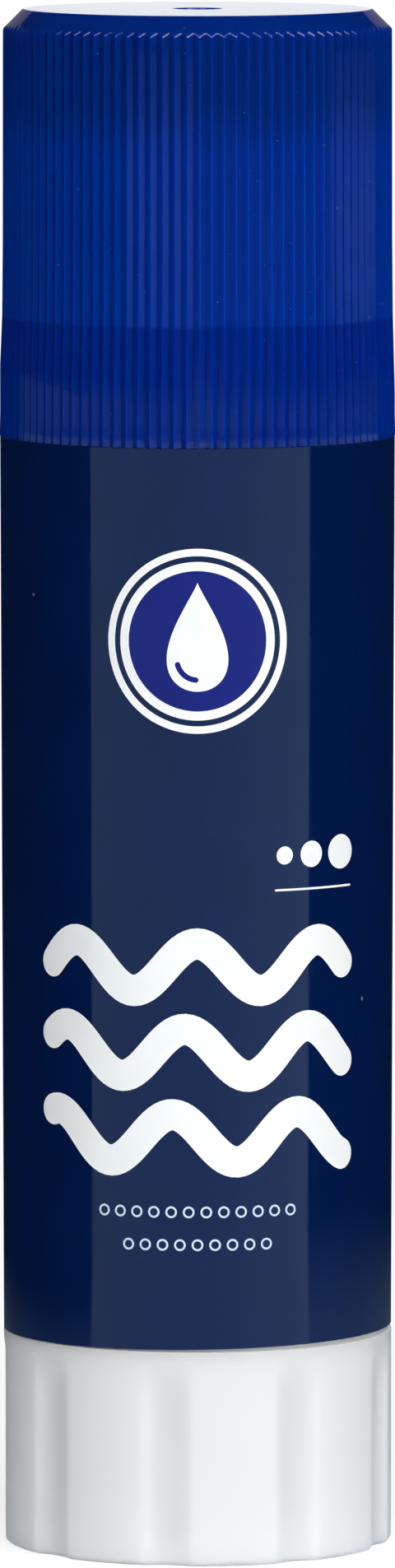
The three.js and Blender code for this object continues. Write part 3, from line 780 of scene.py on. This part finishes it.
def rib_columns():
    """The turn, the dip and the flare's start of each column of points round the cap, fourteen to a rib."""
    pitch = 2 * math.pi / RIB_COUNT
    half = RIB_ROUND_SHARE
    rise_end = half + RIB_FLAT_MARGIN
    flank = (half / 2, half, rise_end, 0.5 - rise_end, 0.5 - half, 0.5 - half / 2)
    shares = [*(-s for s in flank[::-1]), 0, *flank, 0.5]
    worn = np.random.default_rng(CAP_FLARE_SEED).uniform(-CAP_FLARE_WEAR, CAP_FLARE_WEAR, RIB_COUNT)
    columns = []
    for rib in range(RIB_COUNT):
        for share in shares:
            angle = RIB_FIRST_ANGLE + (rib + share) * pitch
            aside = math.cos(angle)
            start = CAP_FLARE_START - CAP_FLARE_LEAN * aside + CAP_FLARE_SIDE_RISE * aside * aside
            columns.append((angle, RIB_DEPTH * rib_dip(share), start + worn[rib]))
    return columns


def make_cap():
    foot, top = CAP_FOOT, cap_high.z
    crown = CAP_RADIUS - CAP_CROWN_INSET
    crown_face = crown - CAP_CHAMFER
    ceiling = top - CAP_TOP_WALL
    inner = CAP_RADIUS - CAP_WALL
    upper_inner = CAP_RADIUS - CAP_UPPER_WALL
    half_turn = math.radians(CHAMFER_TURN / 2)
    columns = rib_columns()

    def plain(radius, height):
        return [polar(radius, angle, height) for angle, _, _ in columns]

    def side_radius(height, flare_start):
        """The crest's radius: a lip, a straight part, a flare up to a bend, then two slight tapers."""
        lip = CAP_LIP_RISE * max(0.0, 1 - (height - foot) / CAP_LIP_HEIGHT)
        start = foot + flare_start
        share = min(1.0, max(0.0, (height - start) / (CAP_BEND - start)))
        inset = CAP_BEND_INSET * share
        if height > CAP_BEND:
            insets = (CAP_BEND_INSET, CAP_WAIST_INSET, CAP_CROWN_INSET)
            inset = np.interp(height, (CAP_BEND, CAP_WAIST, top), insets)
        return CAP_RADIUS + lip - inset

    def ribbed(height, inset=0.0):
        ring = []
        for angle, dip, start in columns:
            ring.append(polar(side_radius(height, start) - dip - inset, angle, height))
        return ring

    def flared(share):
        """A ring at one share of the way from each rib's own flare start up to the bend."""
        ring = []
        for angle, dip, start in columns:
            height = foot + start + (CAP_BEND - foot - start) * share
            ring.append(polar(side_radius(height, start) - dip, angle, height))
        return ring

    def rib_end(turn):
        """A rib's end where it runs out on the chamfer, rounded over by a turn in degrees from upright."""
        rounding = CAP_EDGE_ROUNDING
        setback = rounding * math.tan(half_turn)
        a = math.radians(turn)
        ring = []
        for angle, dip, _ in columns:
            radius = crown - dip
            edge = top - (radius - crown_face)
            centre = (radius - rounding, edge - setback)
            ring.append(polar(centre[0] + rounding * math.cos(a), angle, centre[1] + rounding * math.sin(a)))
        return ring

    grip_top = foot + GRIP_BOTTOM + GRIP_HEIGHT
    step = foot + CAP_STEP_ABOVE_FOOT
    seal_foot = ceiling - SEAL_DROP
    hollow = [
        (SEAL_RADIUS - SEAL_WALL, ceiling),
        (SEAL_RADIUS - SEAL_WALL, seal_foot),
        (SEAL_RADIUS, seal_foot),
        (SEAL_RADIUS, ceiling),
        (upper_inner, ceiling),
        (upper_inner, step + CAP_STEP_HEIGHT),
        (inner, step),
        (inner, grip_top),
        (inner - GRIP_RISE, grip_top - GRIP_RISE),
        (inner - GRIP_RISE, foot + GRIP_BOTTOM + GRIP_RISE),
        (inner, foot + GRIP_BOTTOM),
        (inner, foot),
    ]
    rings = [[(0.0, 0.0, ceiling)]]
    rings += [plain(radius, height) for radius, height in hollow]
    foot_round = arc(CAP_RADIUS - CAP_FOOT_ROUNDING, foot + CAP_FOOT_ROUNDING, CAP_FOOT_ROUNDING, -90, 0)
    rings += [ribbed(height, CAP_RADIUS - radius) for radius, height in foot_round]
    lip_top = foot + CAP_LIP_HEIGHT
    rings += [ribbed(z) for z in (foot + CAP_LIP_HEIGHT / 2, lip_top - CAP_CREASE, lip_top + CAP_CREASE)]
    rings += [flared(share) for share in CAP_FLARE_RINGS]
    rings += [ribbed(z) for z in (CAP_BEND + CAP_CREASE, (CAP_BEND + CAP_WAIST) / 2)]
    rings += [ribbed(z) for z in (CAP_WAIST - 3 * CAP_CREASE, CAP_WAIST + 3 * CAP_CREASE)]
    rings += [ribbed(z) for z in np.linspace(CAP_WAIST, top - 2 * CAP_CHAMFER, 4)[1:]]
    rings += [rib_end(turn) for turn in np.linspace(0, CHAMFER_TURN, 4)]
    chamfer_foot = crown - RIB_DEPTH - CHAMFER_FOOT_MARGIN
    rings.append(plain(chamfer_foot, top - (chamfer_foot - crown_face)))
    crown_centre = crown_face - CROWN_EDGE_ROUNDING * math.tan(half_turn)
    crown_round = arc(crown_centre, top - CROWN_EDGE_ROUNDING, CROWN_EDGE_ROUNDING, CHAMFER_TURN, 90)
    rings += [plain(radius, height) for radius, height in crown_round]
    rings.append(plain(crown_centre - CROWN_FACE_MARGIN, top))
    rings.append(plain(GATE_RADIUS + GATE_MARGIN, top))
    gate = arc(GATE_RADIUS + GATE_EDGE, top - GATE_EDGE, GATE_EDGE, 90, 180, 3)
    gate += [
        (GATE_RADIUS, top - GATE_DEPTH),
        (GATE_NUB_RADIUS + GATE_EDGE, top - GATE_DEPTH),
        (GATE_NUB_RADIUS, top - GATE_DEPTH + GATE_EDGE),
        (GATE_NUB_RADIUS, top - GATE_NUB_SINK - GATE_EDGE),
        (GATE_NUB_RADIUS - GATE_EDGE, top - GATE_NUB_SINK),
    ]
    rings += [plain(radius, height) for radius, height in gate]
    rings.append([(0.0, 0.0, top - GATE_NUB_SINK)])
    cap = skin("cap_shell", rings, cap_blue)
    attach(cap, "cap")
    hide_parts("cap")


# Label and its print


def circle(across, height, radius, steps=64):
    return [(across + radius * math.cos(a), height + radius * math.sin(a)) for a in even_turn(steps)]


def drop(across, height, half_width, half_height, steps=72):
    """A drop that hangs from its pointed top."""
    points = []
    for turn in even_turn(steps):
        belly = DROP_FULLNESS * math.sin(turn) * math.sin(turn / 2) ** DROP_SHARPNESS
        points.append((across - half_width * belly, height + half_height * math.cos(turn)))
    return points


def stroke(line, width, steps=12):
    """A line of even width with round ends."""
    points = [Vector(p) for p in line]
    half = width / 2
    sides = ([], [])
    for i, point in enumerate(points):
        along = points[min(i + 1, len(points) - 1)] - points[max(i - 1, 0)]
        across = Vector((-along.y, along.x)).normalized() * half
        sides[0].append(point - across)
        sides[1].append(point + across)

    def end(point, towards):
        start = math.atan2(towards.y, towards.x) - math.pi / 2
        angles = [start + math.pi * i / steps for i in range(1, steps)]
        return [point + Vector((math.cos(a), math.sin(a))) * half for a in angles]

    front = end(points[-1], points[-1] - points[-2])
    rear = end(points[0], points[0] - points[1])
    return [tuple(p) for p in sides[0] + front + sides[1][::-1] + rear]


def wave(left, right, height, rise_by, period, phase, steps_per_period=32):
    count = round((right - left) / period * steps_per_period)
    line = []
    for i in range(count + 1):
        across = left + (right - left) * i / count
        line.append((across, height + rise_by * math.sin(2 * math.pi * (across - left) / period + phase)))
    return line


def printed_shapes():
    """The print, from the bottom ink to the top one: (finish number, outline). 0 is the bare navy film."""
    navy, white, blue, pale = range(4)
    middle = EMBLEM_HEIGHT
    shapes = [(white, circle(0, middle, EMBLEM_RADIUS, EMBLEM_STEPS))]
    for ink, inset in zip((navy, white, blue), EMBLEM_RING_INSETS):
        shapes.append((ink, circle(0, middle, EMBLEM_RADIUS - inset, EMBLEM_STEPS)))
    shapes.append((white, drop(0, middle + DROP_LIFT, DROP_HALF_WIDTH, DROP_HALF_HEIGHT)))
    across = SHINE_RADIUS * np.cos(SHINE_TURNS)
    up = middle - SHINE_SINK + SHINE_RADIUS * np.sin(SHINE_TURNS)
    shapes.append((blue, stroke(list(zip(across, up)), SHINE_WIDTH)))
    for row, height in enumerate(WAVE_HEIGHTS):
        line = wave(WAVE_LEFT, WAVE_RIGHT, height, WAVE_RISE, WAVE_PERIOD, WAVE_SHIFT * row)
        shapes.append((white, stroke(line, WAVE_WIDTH)))
    shapes.append((white, stroke([(RULE_LEFT, RULE_HEIGHT), (RULE_RIGHT, RULE_HEIGHT)], RULE_WIDTH, 4)))
    for across, radius in zip(DOT_PLACES, DOT_RADII):
        shapes.append((white, circle(across, DOT_HEIGHT, radius, DOT_STEPS)))
    for height, count in BEAD_ROWS:
        for i in range(count):
            across = (i - (count - 1) / 2) * BEAD_PITCH
            shapes.append((pale, circle(across, height, BEAD_RADIUS, BEAD_STEPS)))
            shapes.append((navy, circle(across, height, BEAD_BORE, BORE_STEPS)))
    return shapes


def label_radius(turn, height):
    """The film's outer radius, a turn in radians from its start and at a height."""
    share = (height - LABEL_FOOT) / (label_high.z - LABEL_FOOT)
    lap = smooth_step(2 * math.pi - LABEL_RAMP, 2 * math.pi, turn)
    return LABEL_RADIUS - LABEL_FOOT_INSET * (1 - share) + LABEL_LAP_RISE * lap


def label_point(turn, height, sink=0.0):
    """A point of the film. Its lower edge is cut a little askew, so that it rises to the right."""
    angle = BACK + turn
    near_foot = 1 - smooth_step(LABEL_FOOT, LABEL_FOOT + LABEL_SKEW_FADE, height)
    lift = LABEL_SKEW * (1 + math.cos(angle)) * near_foot
    return Vector(polar(label_radius(turn, height) - sink, angle, height + lift))


def label_normal(turn, height):
    """The film's outward normal, from the slopes of its surface."""
    small = LABEL_SLOPE_STEP
    step = small / LABEL_RADIUS
    along = label_point(turn + step, height) - label_point(turn - step, height)
    up = label_point(turn, height + small) - label_point(turn, height - small)
    return along.cross(up).normalized()


def make_label():
    """The film with its print set into it, so that each ink is a part of one smooth sheet."""
    bottom, top = LABEL_FOOT, label_high.z
    full_turn = 2 * math.pi + LABEL_LAP
    steps = round(full_turn / LABEL_TURN_STEP)
    turns = [full_turn * i / steps for i in range(steps + 1)]
    front = math.pi * LABEL_RADIUS
    flat = [Vector((turn * LABEL_RADIUS, height)) for turn in turns for height in (bottom, top)]
    creases = [(2 * i, 2 * i + 1) for i in range(len(turns))]
    outlines = []
    shapes = printed_shapes()
    for _, outline in shapes:
        start = len(flat)
        flat += [Vector((front + across, height)) for across, height in outline]
        outlines.append(list(range(start, len(flat))))
    in_mm = [p * (1 / MM) for p in flat]
    points, _, faces, _, _, sources = delaunay_2d_cdt(in_mm, creases, outlines, 0, LABEL_WELD, True)
    surface = [(p.x * MM / LABEL_RADIUS, p.y * MM) for p in points]
    inks = [shapes[max(ids)][0] if ids else 0 for ids in sources]
    verts = [label_point(turn, height) for turn, height in surface]
    count = len(verts)
    verts += [label_point(turn, height, LABEL_FILM) for turn in turns for height in (bottom, top)]

    def edge_row(height):
        row = [i for i, (_, h) in enumerate(surface) if abs(h - height) < LABEL_EDGE_TOLERANCE]
        return sorted(row, key=lambda i: surface[i][0])

    rows = (edge_row(bottom), edge_row(top))
    sheet = [list(face) for face in faces]
    for i in range(steps):
        inner = [count + 2 * i, count + 2 * i + 1, count + 2 * i + 3, count + 2 * i + 2]
        sheet.append(inner)
        for side, row in enumerate(rows):
            sheet.append([row[i], row[i + 1], inner[3 - side] if side == 0 else inner[2], inner[side]])
    for i in (0, steps):
        sheet.append([rows[0][i], rows[1][i], count + 2 * i + 1, count + 2 * i])
    mesh = bpy.data.meshes.new("label_film")
    mesh.from_pydata(verts, [], sheet)
    label = placed("label_film", mesh, [film_navy, ink_white, ink_blue, ink_pale], None)
    for polygon, ink in zip(mesh.polygons, inks):
        polygon.material_index = ink
    normals = [Vector((0, 0, 0))] * len(mesh.loops)
    for polygon in mesh.polygons:
        for loop in polygon.loop_indices:
            vertex = mesh.loops[loop].vertex_index
            outside = polygon.index < len(faces) and vertex < count
            normals[loop] = label_normal(*surface[vertex]) if outside else polygon.normal.copy()
    mesh.normals_split_custom_set(normals)
    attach(label, "tube")
    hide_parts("label")


# Twist knob


def flute_dip(angle):
    """How far a flute cuts into the knob at an angle round it, with a softened edge."""
    pitch = 2 * math.pi / FLUTE_COUNT
    off = (angle - FLUTE_FIRST_ANGLE + pitch / 2) % pitch - pitch / 2
    centre = KNOB_RADIUS + FLUTE_ARC_RADIUS - FLUTE_DEPTH
    inside = FLUTE_ARC_RADIUS**2 - (centre * math.sin(off)) ** 2
    if inside <= 0:
        return 0.0
    raw = KNOB_RADIUS - (centre * math.cos(off) - math.sqrt(inside))
    soft = FLUTE_EDGE_SOFTNESS
    return 0.5 * (raw + math.sqrt(raw * raw + soft * soft)) if raw > -FLUTE_SOFT_REACH * soft else 0.0


def make_knob():
    rim = KNOB_RIM_HEIGHT
    flute_end = rim - FLUTE_END_BELOW_RIM
    angles = even_turn(FLUTE_COUNT * KNOB_COLUMNS_PER_FLUTE, FLUTE_FIRST_ANGLE)
    dips = [flute_dip(a) for a in angles]

    def plain(radius, height):
        return [polar(radius, a, height) for a in angles]

    def fluted(radius, height):
        depth = 1 - smooth_step(flute_end - FLUTE_END_SLOPE, flute_end, height)
        return [polar(radius - dip * depth, a, height) for a, dip in zip(angles, dips)]

    collar_top = knob_high.z
    boss_top = KNOB_FLOOR + BOSS_LENGTH
    underside = [
        (FOOT_NUB_RADIUS - FOOT_EDGE, FOOT_NUB_SINK),
        (FOOT_NUB_RADIUS, FOOT_NUB_SINK + FOOT_EDGE),
        (FOOT_NUB_RADIUS, FOOT_RECESS),
        (KNOB_RADIUS - FOOT_RING_WIDTH, FOOT_RECESS),
        (KNOB_RADIUS - FOOT_RING_WIDTH, FOOT_EDGE),
        (KNOB_RADIUS - FOOT_RING_WIDTH + FOOT_EDGE, 0.0),
    ]
    rings = [[(0.0, 0.0, FOOT_NUB_SINK)]]
    rings += [plain(radius, height) for radius, height in underside]
    fillet = arc(KNOB_RADIUS - KNOB_FOOT_FILLET, KNOB_FOOT_FILLET, KNOB_FOOT_FILLET, -90, 0, 6)
    rings += [fluted(radius, height) for radius, height in fillet]
    for height in np.linspace(flute_end - FLUTE_END_SLOPE, flute_end, FLUTE_END_RINGS):
        rings.append(fluted(KNOB_RADIUS, height))
    rim_round = arc(KNOB_RADIUS - KNOB_RIM_ROUNDING, rim - KNOB_RIM_ROUNDING, KNOB_RIM_ROUNDING, 0, 90, 3)
    rings += [plain(radius, height) for radius, height in rim_round]
    inside = [
        (KNOB_RADIUS - KNOB_WALL, rim),
        (KNOB_RADIUS - KNOB_WALL, KNOB_FLOOR),
        (COLLAR_RADIUS, KNOB_FLOOR),
        (COLLAR_RADIUS, SNAP_BEAD_BOTTOM),
        (SNAP_BEAD_RADIUS, SNAP_BEAD_BOTTOM),
        (COLLAR_RADIUS, SNAP_BEAD_BOTTOM + SNAP_BEAD_HEIGHT),
        (COLLAR_RADIUS, collar_top - COLLAR_LEAD_IN),
        (COLLAR_RADIUS - COLLAR_LEAD_IN, collar_top),
        (COLLAR_RADIUS - COLLAR_WALL, collar_top),
        (COLLAR_RADIUS - COLLAR_WALL, KNOB_FLOOR),
        (BOSS_RADIUS, KNOB_FLOOR),
        (BOSS_RADIUS, boss_top),
        (SOCKET_RADIUS, boss_top),
        (SOCKET_RADIUS, KNOB_FLOOR),
    ]
    rings += [plain(radius, height) for radius, height in inside]
    rings.append([(0.0, 0.0, KNOB_FLOOR)])
    knob = skin("knob_shell", rings, knob_white)
    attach(knob, "knob")
    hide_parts("twist_knob")


# Tube


def make_tube():
    foot, rim, shoulder = tube_low.z, tube_high.z, label_high.z
    half_spline = SPLINE_WIDTH / 2 / BORE_RADIUS
    quarter = 2 * math.pi / SPLINE_COUNT
    angles = []
    for k in range(SPLINE_COUNT):
        start = half_spline + SPLINE_SLANT
        angles += [k * quarter + e for e in (-start, -half_spline, 0, half_spline, start)]
        between = quarter - 2 * start
        fill = COLUMNS_BETWEEN_SPLINES
        angles += [k * quarter + start + between * i / fill for i in range(1, fill)]

    def on_spline(angle):
        off = (angle + quarter / 2) % quarter - quarter / 2
        return abs(off) <= half_spline + SPLINE_SLANT / 4

    def plain(radius, height):
        return [polar(radius, a, height) for a in angles]

    def splined(height):
        return [polar(BORE_RADIUS - (SPLINE_RISE if on_spline(a) else 0), a, height) for a in angles]

    bead = shoulder + CAP_BEAD_ABOVE_SHOULDER
    upper = NECK_RADIUS - NECK_THINNING
    outside = [(BORE_RADIUS + TUBE_LEAD_IN, foot), (TUBE_FOOT_RADIUS, foot)]
    turn_in = SHOULDER_ROUNDING
    outside += arc(SHOULDER_RADIUS - turn_in, shoulder - turn_in, turn_in, 0, 90, 3)
    outside += [
        (NECK_RADIUS, shoulder),
        (NECK_RADIUS, bead),
        (NECK_RADIUS + CAP_BEAD_RISE, bead + CAP_BEAD_RISE),
        (NECK_RADIUS + CAP_BEAD_RISE, bead + CAP_BEAD_HEIGHT - CAP_BEAD_RISE),
        (NECK_RADIUS, bead + CAP_BEAD_HEIGHT),
        (NECK_RADIUS, NECK_SEAT_TOP),
        (upper, NECK_SEAT_TOP + NECK_THINNING),
    ]
    outside += arc(upper - RIM_ROUNDING, rim - RIM_ROUNDING, RIM_ROUNDING, 0, 90)
    outside += arc(BORE_RADIUS + RIM_ROUNDING, rim - RIM_ROUNDING, RIM_ROUNDING, 90, 180)
    rings = [plain(radius, height) for radius, height in outside]
    spline_top = rim - SPLINE_BELOW_RIM
    spline_foot = carrier_low.z
    rings.append(plain(BORE_RADIUS, spline_top))
    rings += [splined(spline_top - SPLINE_END_STEP), splined(spline_foot)]
    groove_top = GROOVE_BOTTOM + GROOVE_HEIGHT
    below = [
        (BORE_RADIUS, spline_foot - SPLINE_END_STEP),
        (BORE_RADIUS, groove_top),
        (GROOVE_RADIUS, groove_top),
        (GROOVE_RADIUS, GROOVE_BOTTOM),
        (BORE_RADIUS, GROOVE_BOTTOM),
        (BORE_RADIUS, foot + TUBE_LEAD_IN),
    ]
    rings += [plain(radius, height) for radius, height in below]
    tube = skin("tube_body", rings, tube_white, closed=True)
    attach(tube, "tube")
    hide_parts("tube")


# Glue, spindle and carrier


def make_glue():
    """The bar above the carrier and the plug in its cup, both riding on the carrier; real glue is rubbed
    away as the carrier rises.
    """
    lip = carrier_high.z + GLUE_CUP_GAP
    top = glue_high.z
    hub_top = GLUE_HUB_TOP
    edge = GLUE_EDGE_ROUNDING
    shoulder = arc(GLUE_RADIUS - edge, top - GLUE_CROWN - edge, edge, 0, 80, 6)
    dome = [(GLUE_RADIUS * s, top - GLUE_CROWN * s * s) for s in GLUE_DOME_RINGS]
    bar = [(0.0, top - GLUE_TOP_COVER), (GLUE_CORE_RADIUS, top - GLUE_TOP_COVER), (GLUE_CORE_RADIUS, lip)]
    bar += [(GLUE_RADIUS, lip), *shoulder, *dome, (0.0, top)]
    glue_bar = turned("glue_bar_upper", bar, glue_white, sharp=GLUE_SHARP_TURN)
    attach(glue_bar, "carrier")
    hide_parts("glue_bar")
    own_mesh(glue_bar)
    plug = [
        (GLUE_HUB_RADIUS, glue_low.z),
        (GLUE_FOOT_RADIUS, glue_low.z),
        (GLUE_FOOT_RADIUS, lip - GLUE_PARTING),
        (GLUE_CORE_RADIUS, lip - GLUE_PARTING),
        (GLUE_CORE_RADIUS, hub_top),
        (GLUE_HUB_RADIUS, hub_top),
    ]
    glue_plug = turned("glue_cup_plug", plug, glue_white, closed=True, columns=96)
    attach(glue_plug, "carrier")


def finish_hidden_parts():
    for name in ("spindle", "carrier"):
        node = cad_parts[name]
        node.data.materials.clear()
        node.data.materials.append(screw_white)


make_tube()
make_label()
make_cap()
make_knob()
make_glue()
finish_hidden_parts()


# Studio


def card_glow_effect():
    """How bright the card and the floor before it look in the gloss, round the stick: more to the right."""
    outputs = ["Strength", "Ahead", "Aside", "Distance"]
    group, given, result = effect("card_glow", {"Level": 1.0}, outputs)
    x, y, _ = axes_of(group, place_of(group))
    far = calc(group, "SQRT", calc(group, "ADD", product(group, x, x), product(group, y, y)))
    aside = calc(group, "DIVIDE", x, far)
    tone = plus(group, GLOW, (aside, plus(group, GLOW_TO_RIGHT, (aside, GLOW_TO_SIDES))))
    group.links.new(product(group, tone, given["Level"]), result["Strength"])
    group.links.new(calc(group, "DIVIDE", product(group, y, -1.0), far), result["Ahead"])
    group.links.new(aside, result["Aside"])
    group.links.new(far, result["Distance"])
    return group


card_glow = card_glow_effect()


def staged(name, points, faces, material):
    mesh = bpy.data.meshes.new(name)
    mesh.from_pydata(points, [], faces)
    mesh.materials.append(material)
    obj = bpy.data.objects.new(name, mesh)
    bpy.context.scene.collection.objects.link(obj)


def show_gloss(tree, plain, rays, tone):
    """Ends a stage material: the gloss sees a glowing tone, and all other rays a plain shader."""
    glow = add(tree, "ShaderNodeEmission")
    tree.links.new(tone, glow.inputs["Color"])
    either = add(tree, "ShaderNodeMixShader")
    tree.links.new(rays["Is Glossy Ray"], either.inputs[0])
    tree.links.new(plain, either.inputs[1])
    tree.links.new(glow.outputs[0], either.inputs[2])
    tree.links.new(either.outputs[0], tree.nodes["Material Output"].inputs["Surface"])


def floor_tone(tree):
    """What the gloss sees of the floor: pale near the stick, dark beyond, and two far patches in front."""
    glow = use(tree, card_glow, Level=1.0)
    ahead, aside, far = glow["Ahead"], glow["Aside"], glow["Distance"]
    in_front = calc(tree, "GREATER_THAN", ahead, 0.0)
    left, right = math.sin(CARD_LEFT), math.sin(CARD_RIGHT)
    within = calc(tree, "MINIMUM", calc(tree, "SUBTRACT", right, aside), calc(tree, "ADD", aside, left))
    front = product(tree, rise(tree, within, -CARD_EDGE_FADE, CARD_EDGE_FADE), in_front)
    before_card = calc(tree, "LESS_THAN", far, CARD_DISTANCE)
    lit = product(tree, front, before_card, glow["Strength"])
    reach = plus(tree, NEAR_REACH, (aside, NEAR_REACH_TO_RIGHT))
    near = calc(tree, "SUBTRACT", 1.0, rise(tree, calc(tree, "DIVIDE", far, reach), *NEAR_FADE))
    side = product(tree, plus(tree, SIDE_GLOW, (ahead, SIDE_GLOW_AHEAD)), near)
    side = product(tree, side, calc(tree, "SUBTRACT", 1.0, front))
    tone = blend_colours(tree, calc(tree, "ADD", lit, side), DARK, CARD_COLOUR)
    started = rise(tree, far, FAR_START - FAR_START_FADE, FAR_START + FAR_START_FADE)
    not_ended = rise(tree, far, FAR_END, FAR_END - FAR_END_FADE)
    beyond = product(tree, started, in_front, not_ended)
    before_side = calc(tree, "COMPARE", aside, 0.0, FAR_SIDE_LIMIT)
    for patch in (FAR_RIGHT, FAR_LEFT):
        mask = product(tree, beyond, rise(tree, aside, *patch["fade"]), before_side)
        tone = blend_colours(tree, mask, tone, patch["colour"])
    return tone


def make_floor():
    """A white floor that keeps a soft shadow."""
    material, tree, shader = plastic("floor_card", Roughness=0.9, Specular_IOR_Level=0.0)
    rays = add(tree, "ShaderNodeLightPath").outputs
    seen = rays["Is Camera Ray"]
    length = add(tree, "ShaderNodeVectorMath", operation="LENGTH")
    tree.links.new(place_of(tree), length.inputs[0])
    apart = length.outputs["Value"]
    paper = blend_colours(tree, rise(tree, apart, *PAPER_FADE), PAPER_NEAR, PAPER_FAR)
    tree.links.new(blend_colours(tree, seen, paper, PAPER_SEEN), shader.inputs["Base Color"])
    shader.inputs["Emission Color"].default_value = WHITE
    lift = plus(tree, PAPER_LIFT, (rise(tree, apart, *PAPER_LIFT_FADE), 1 - PAPER_LIFT))
    tree.links.new(product(tree, seen, lift), shader.inputs["Emission Strength"])
    show_gloss(tree, shader.outputs[0], rays, floor_tone(tree))
    edge = [polar(FLOOR_RADIUS, a, 0) for a in even_turn(FLOOR_CORNERS)]
    staged("floor", edge, [tuple(range(FLOOR_CORNERS))], material)


def make_card():
    """A low curved card before the stick, which only the gloss sees."""
    material, tree, shader = plastic("reflector_card")
    tree.nodes.remove(shader)
    glow = use(tree, card_glow, Level=1.0)
    height = axes_of(tree, place_of(tree))[2]
    dim = plus(tree, CARD_TOP_GLOW, (rise(tree, glow["Aside"], *CARD_TOP_LOSS_RANGE), -CARD_TOP_LOSS))
    tone = blend_colours(tree, glow["Strength"], DARK, CARD_COLOUR)
    top_tone = blend_colours(tree, dim, DARK, CARD_TOP_COLOUR)
    over = rise(tree, height, CARD_TOP_EDGE, CARD_TOP_EDGE + CARD_TOP_FADE)
    clear = add(tree, "ShaderNodeBsdfTransparent")
    rays = add(tree, "ShaderNodeLightPath").outputs
    show_gloss(tree, clear.outputs[0], rays, blend_colours(tree, over, tone, top_tone))
    points = []
    for i in range(CARD_COLUMNS + 1):
        share = 2 * i / CARD_COLUMNS - 1
        top = CARD_HEIGHT + CARD_END_RISE * share * share + CARD_WAVE * math.sin(CARD_WAVE_COUNT * share)
        angle = FRONT + (CARD_RIGHT if share > 0 else CARD_LEFT) * share
        points += [polar(CARD_DISTANCE, angle, 0), polar(CARD_DISTANCE, angle, top)]
    faces = [(2 * i, 2 * i + 2, 2 * i + 3, 2 * i + 1) for i in range(CARD_COLUMNS)]
    staged("reflector_card", points, faces, material)


def away_at(azimuth, elevation):
    """The direction from the stick to an azimuth and an elevation in degrees."""
    a, e = math.radians(azimuth), math.radians(elevation)
    return Vector((math.sin(a) * math.cos(e), -math.cos(a) * math.cos(e), math.sin(e)))


def make_world():
    """White to the camera, a faint soft light from the front, and a dark studio in the gloss."""
    world = bpy.data.worlds.new("studio")
    bpy.context.scene.world = world
    world.use_nodes = True
    tree = world.node_tree
    tree.nodes.clear()
    place = place_of(tree, "Generated")
    _, y, z = axes_of(tree, place)

    def zone(half_width, side_fade, lowest, highest, fade):
        """1 behind the stick, in a width and between two elevations in degrees, with soft ends."""
        edge = math.cos(math.radians(half_width))
        low, high = math.sin(math.radians(lowest)), math.sin(math.radians(highest))
        across = rise(tree, y, edge - side_fade, edge)
        over = rise(tree, z, low - fade, low)
        under = calc(tree, "SUBTRACT", 1.0, rise(tree, z, high, high + fade))
        return product(tree, across, over, under)

    low_white, high_grey, strip = zone(**LOW_WHITE), zone(**HIGH_GREY), zone(**WHITE_STRIP)
    white_level = product(tree, low_white, LOW_WHITE_LEVEL)
    grey_level = product(tree, high_grey, HIGH_GREY_LEVEL)
    backdrop = calc(tree, "MAXIMUM", calc(tree, "MAXIMUM", white_level, grey_level), DARK_SKY_LEVEL)
    gloss = plus(tree, backdrop, (strip, WHITE_STRIP_LEVEL))
    fill_from = {1: away_at(FILL_AZIMUTH, FILL_ELEVATION)}
    towards = add(tree, "ShaderNodeVectorMath", fill_from, operation="DOT_PRODUCT")
    tree.links.new(place, towards.inputs[0])
    fill = calc(tree, "MAXIMUM", plus(tree, FILL_LEVEL, (towards.outputs["Value"], FILL_LEVEL)), 0.0)
    rays = add(tree, "ShaderNodeLightPath").outputs
    strength = blend_numbers(tree, rays["Is Glossy Ray"], fill, gloss)
    strength = blend_numbers(tree, rays["Is Camera Ray"], strength, 1.0)
    bright = calc(tree, "MAXIMUM", low_white, strip)
    glossy_tint = blend_colours(tree, bright, DARK_SKY_TINT, BRIGHT_SKY_TINT)
    tint = blend_colours(tree, rays["Is Glossy Ray"], FILL_TINT, glossy_tint)
    tint = blend_colours(tree, rays["Is Camera Ray"], tint, WHITE)
    background = add(tree, "ShaderNodeBackground")
    tree.links.new(tint, background.inputs["Color"])
    tree.links.new(strength, background.inputs["Strength"])
    end = add(tree, "ShaderNodeOutputWorld")
    tree.links.new(background.outputs[0], end.inputs["Surface"])


def soft_lamp(name, azimuth, elevation, distance, width, power):
    """A square soft lamp that looks at the middle of the stick."""
    data = bpy.data.lights.new(name, "AREA")
    data.size = width
    data.energy = power
    lamp = bpy.data.objects.new(name, data)
    bpy.context.scene.collection.objects.link(lamp)
    away = away_at(azimuth, elevation)
    lamp.location = Vector((0, 0, cap_high.z / 2)) + away * distance
    lamp.rotation_mode = "QUATERNION"
    lamp.rotation_quaternion = away.to_track_quat("Z", "Y")


def make_camera():
    data = bpy.data.cameras.new("camera")
    data.sensor_width = SENSOR_LONG_SIDE
    data.lens = SENSOR_LONG_SIDE * CAMERA_FOCUS_PIXELS / PICTURE_HEIGHT
    data.clip_start = CAMERA_NEAR
    data.clip_end = CAMERA_FAR
    camera = bpy.data.objects.new("camera", data)
    bpy.context.scene.collection.objects.link(camera)
    camera.location = (0, -CAMERA_DISTANCE, CAMERA_HEIGHT)
    camera.rotation_euler = (math.radians(90) - CAMERA_TILT, 0, 0)
    bpy.context.scene.camera = camera


make_floor()
make_card()
make_world()
for lamp in LAMPS:
    soft_lamp(*lamp)
make_camera()
bpy.context.scene.view_settings.view_transform = "Standard"
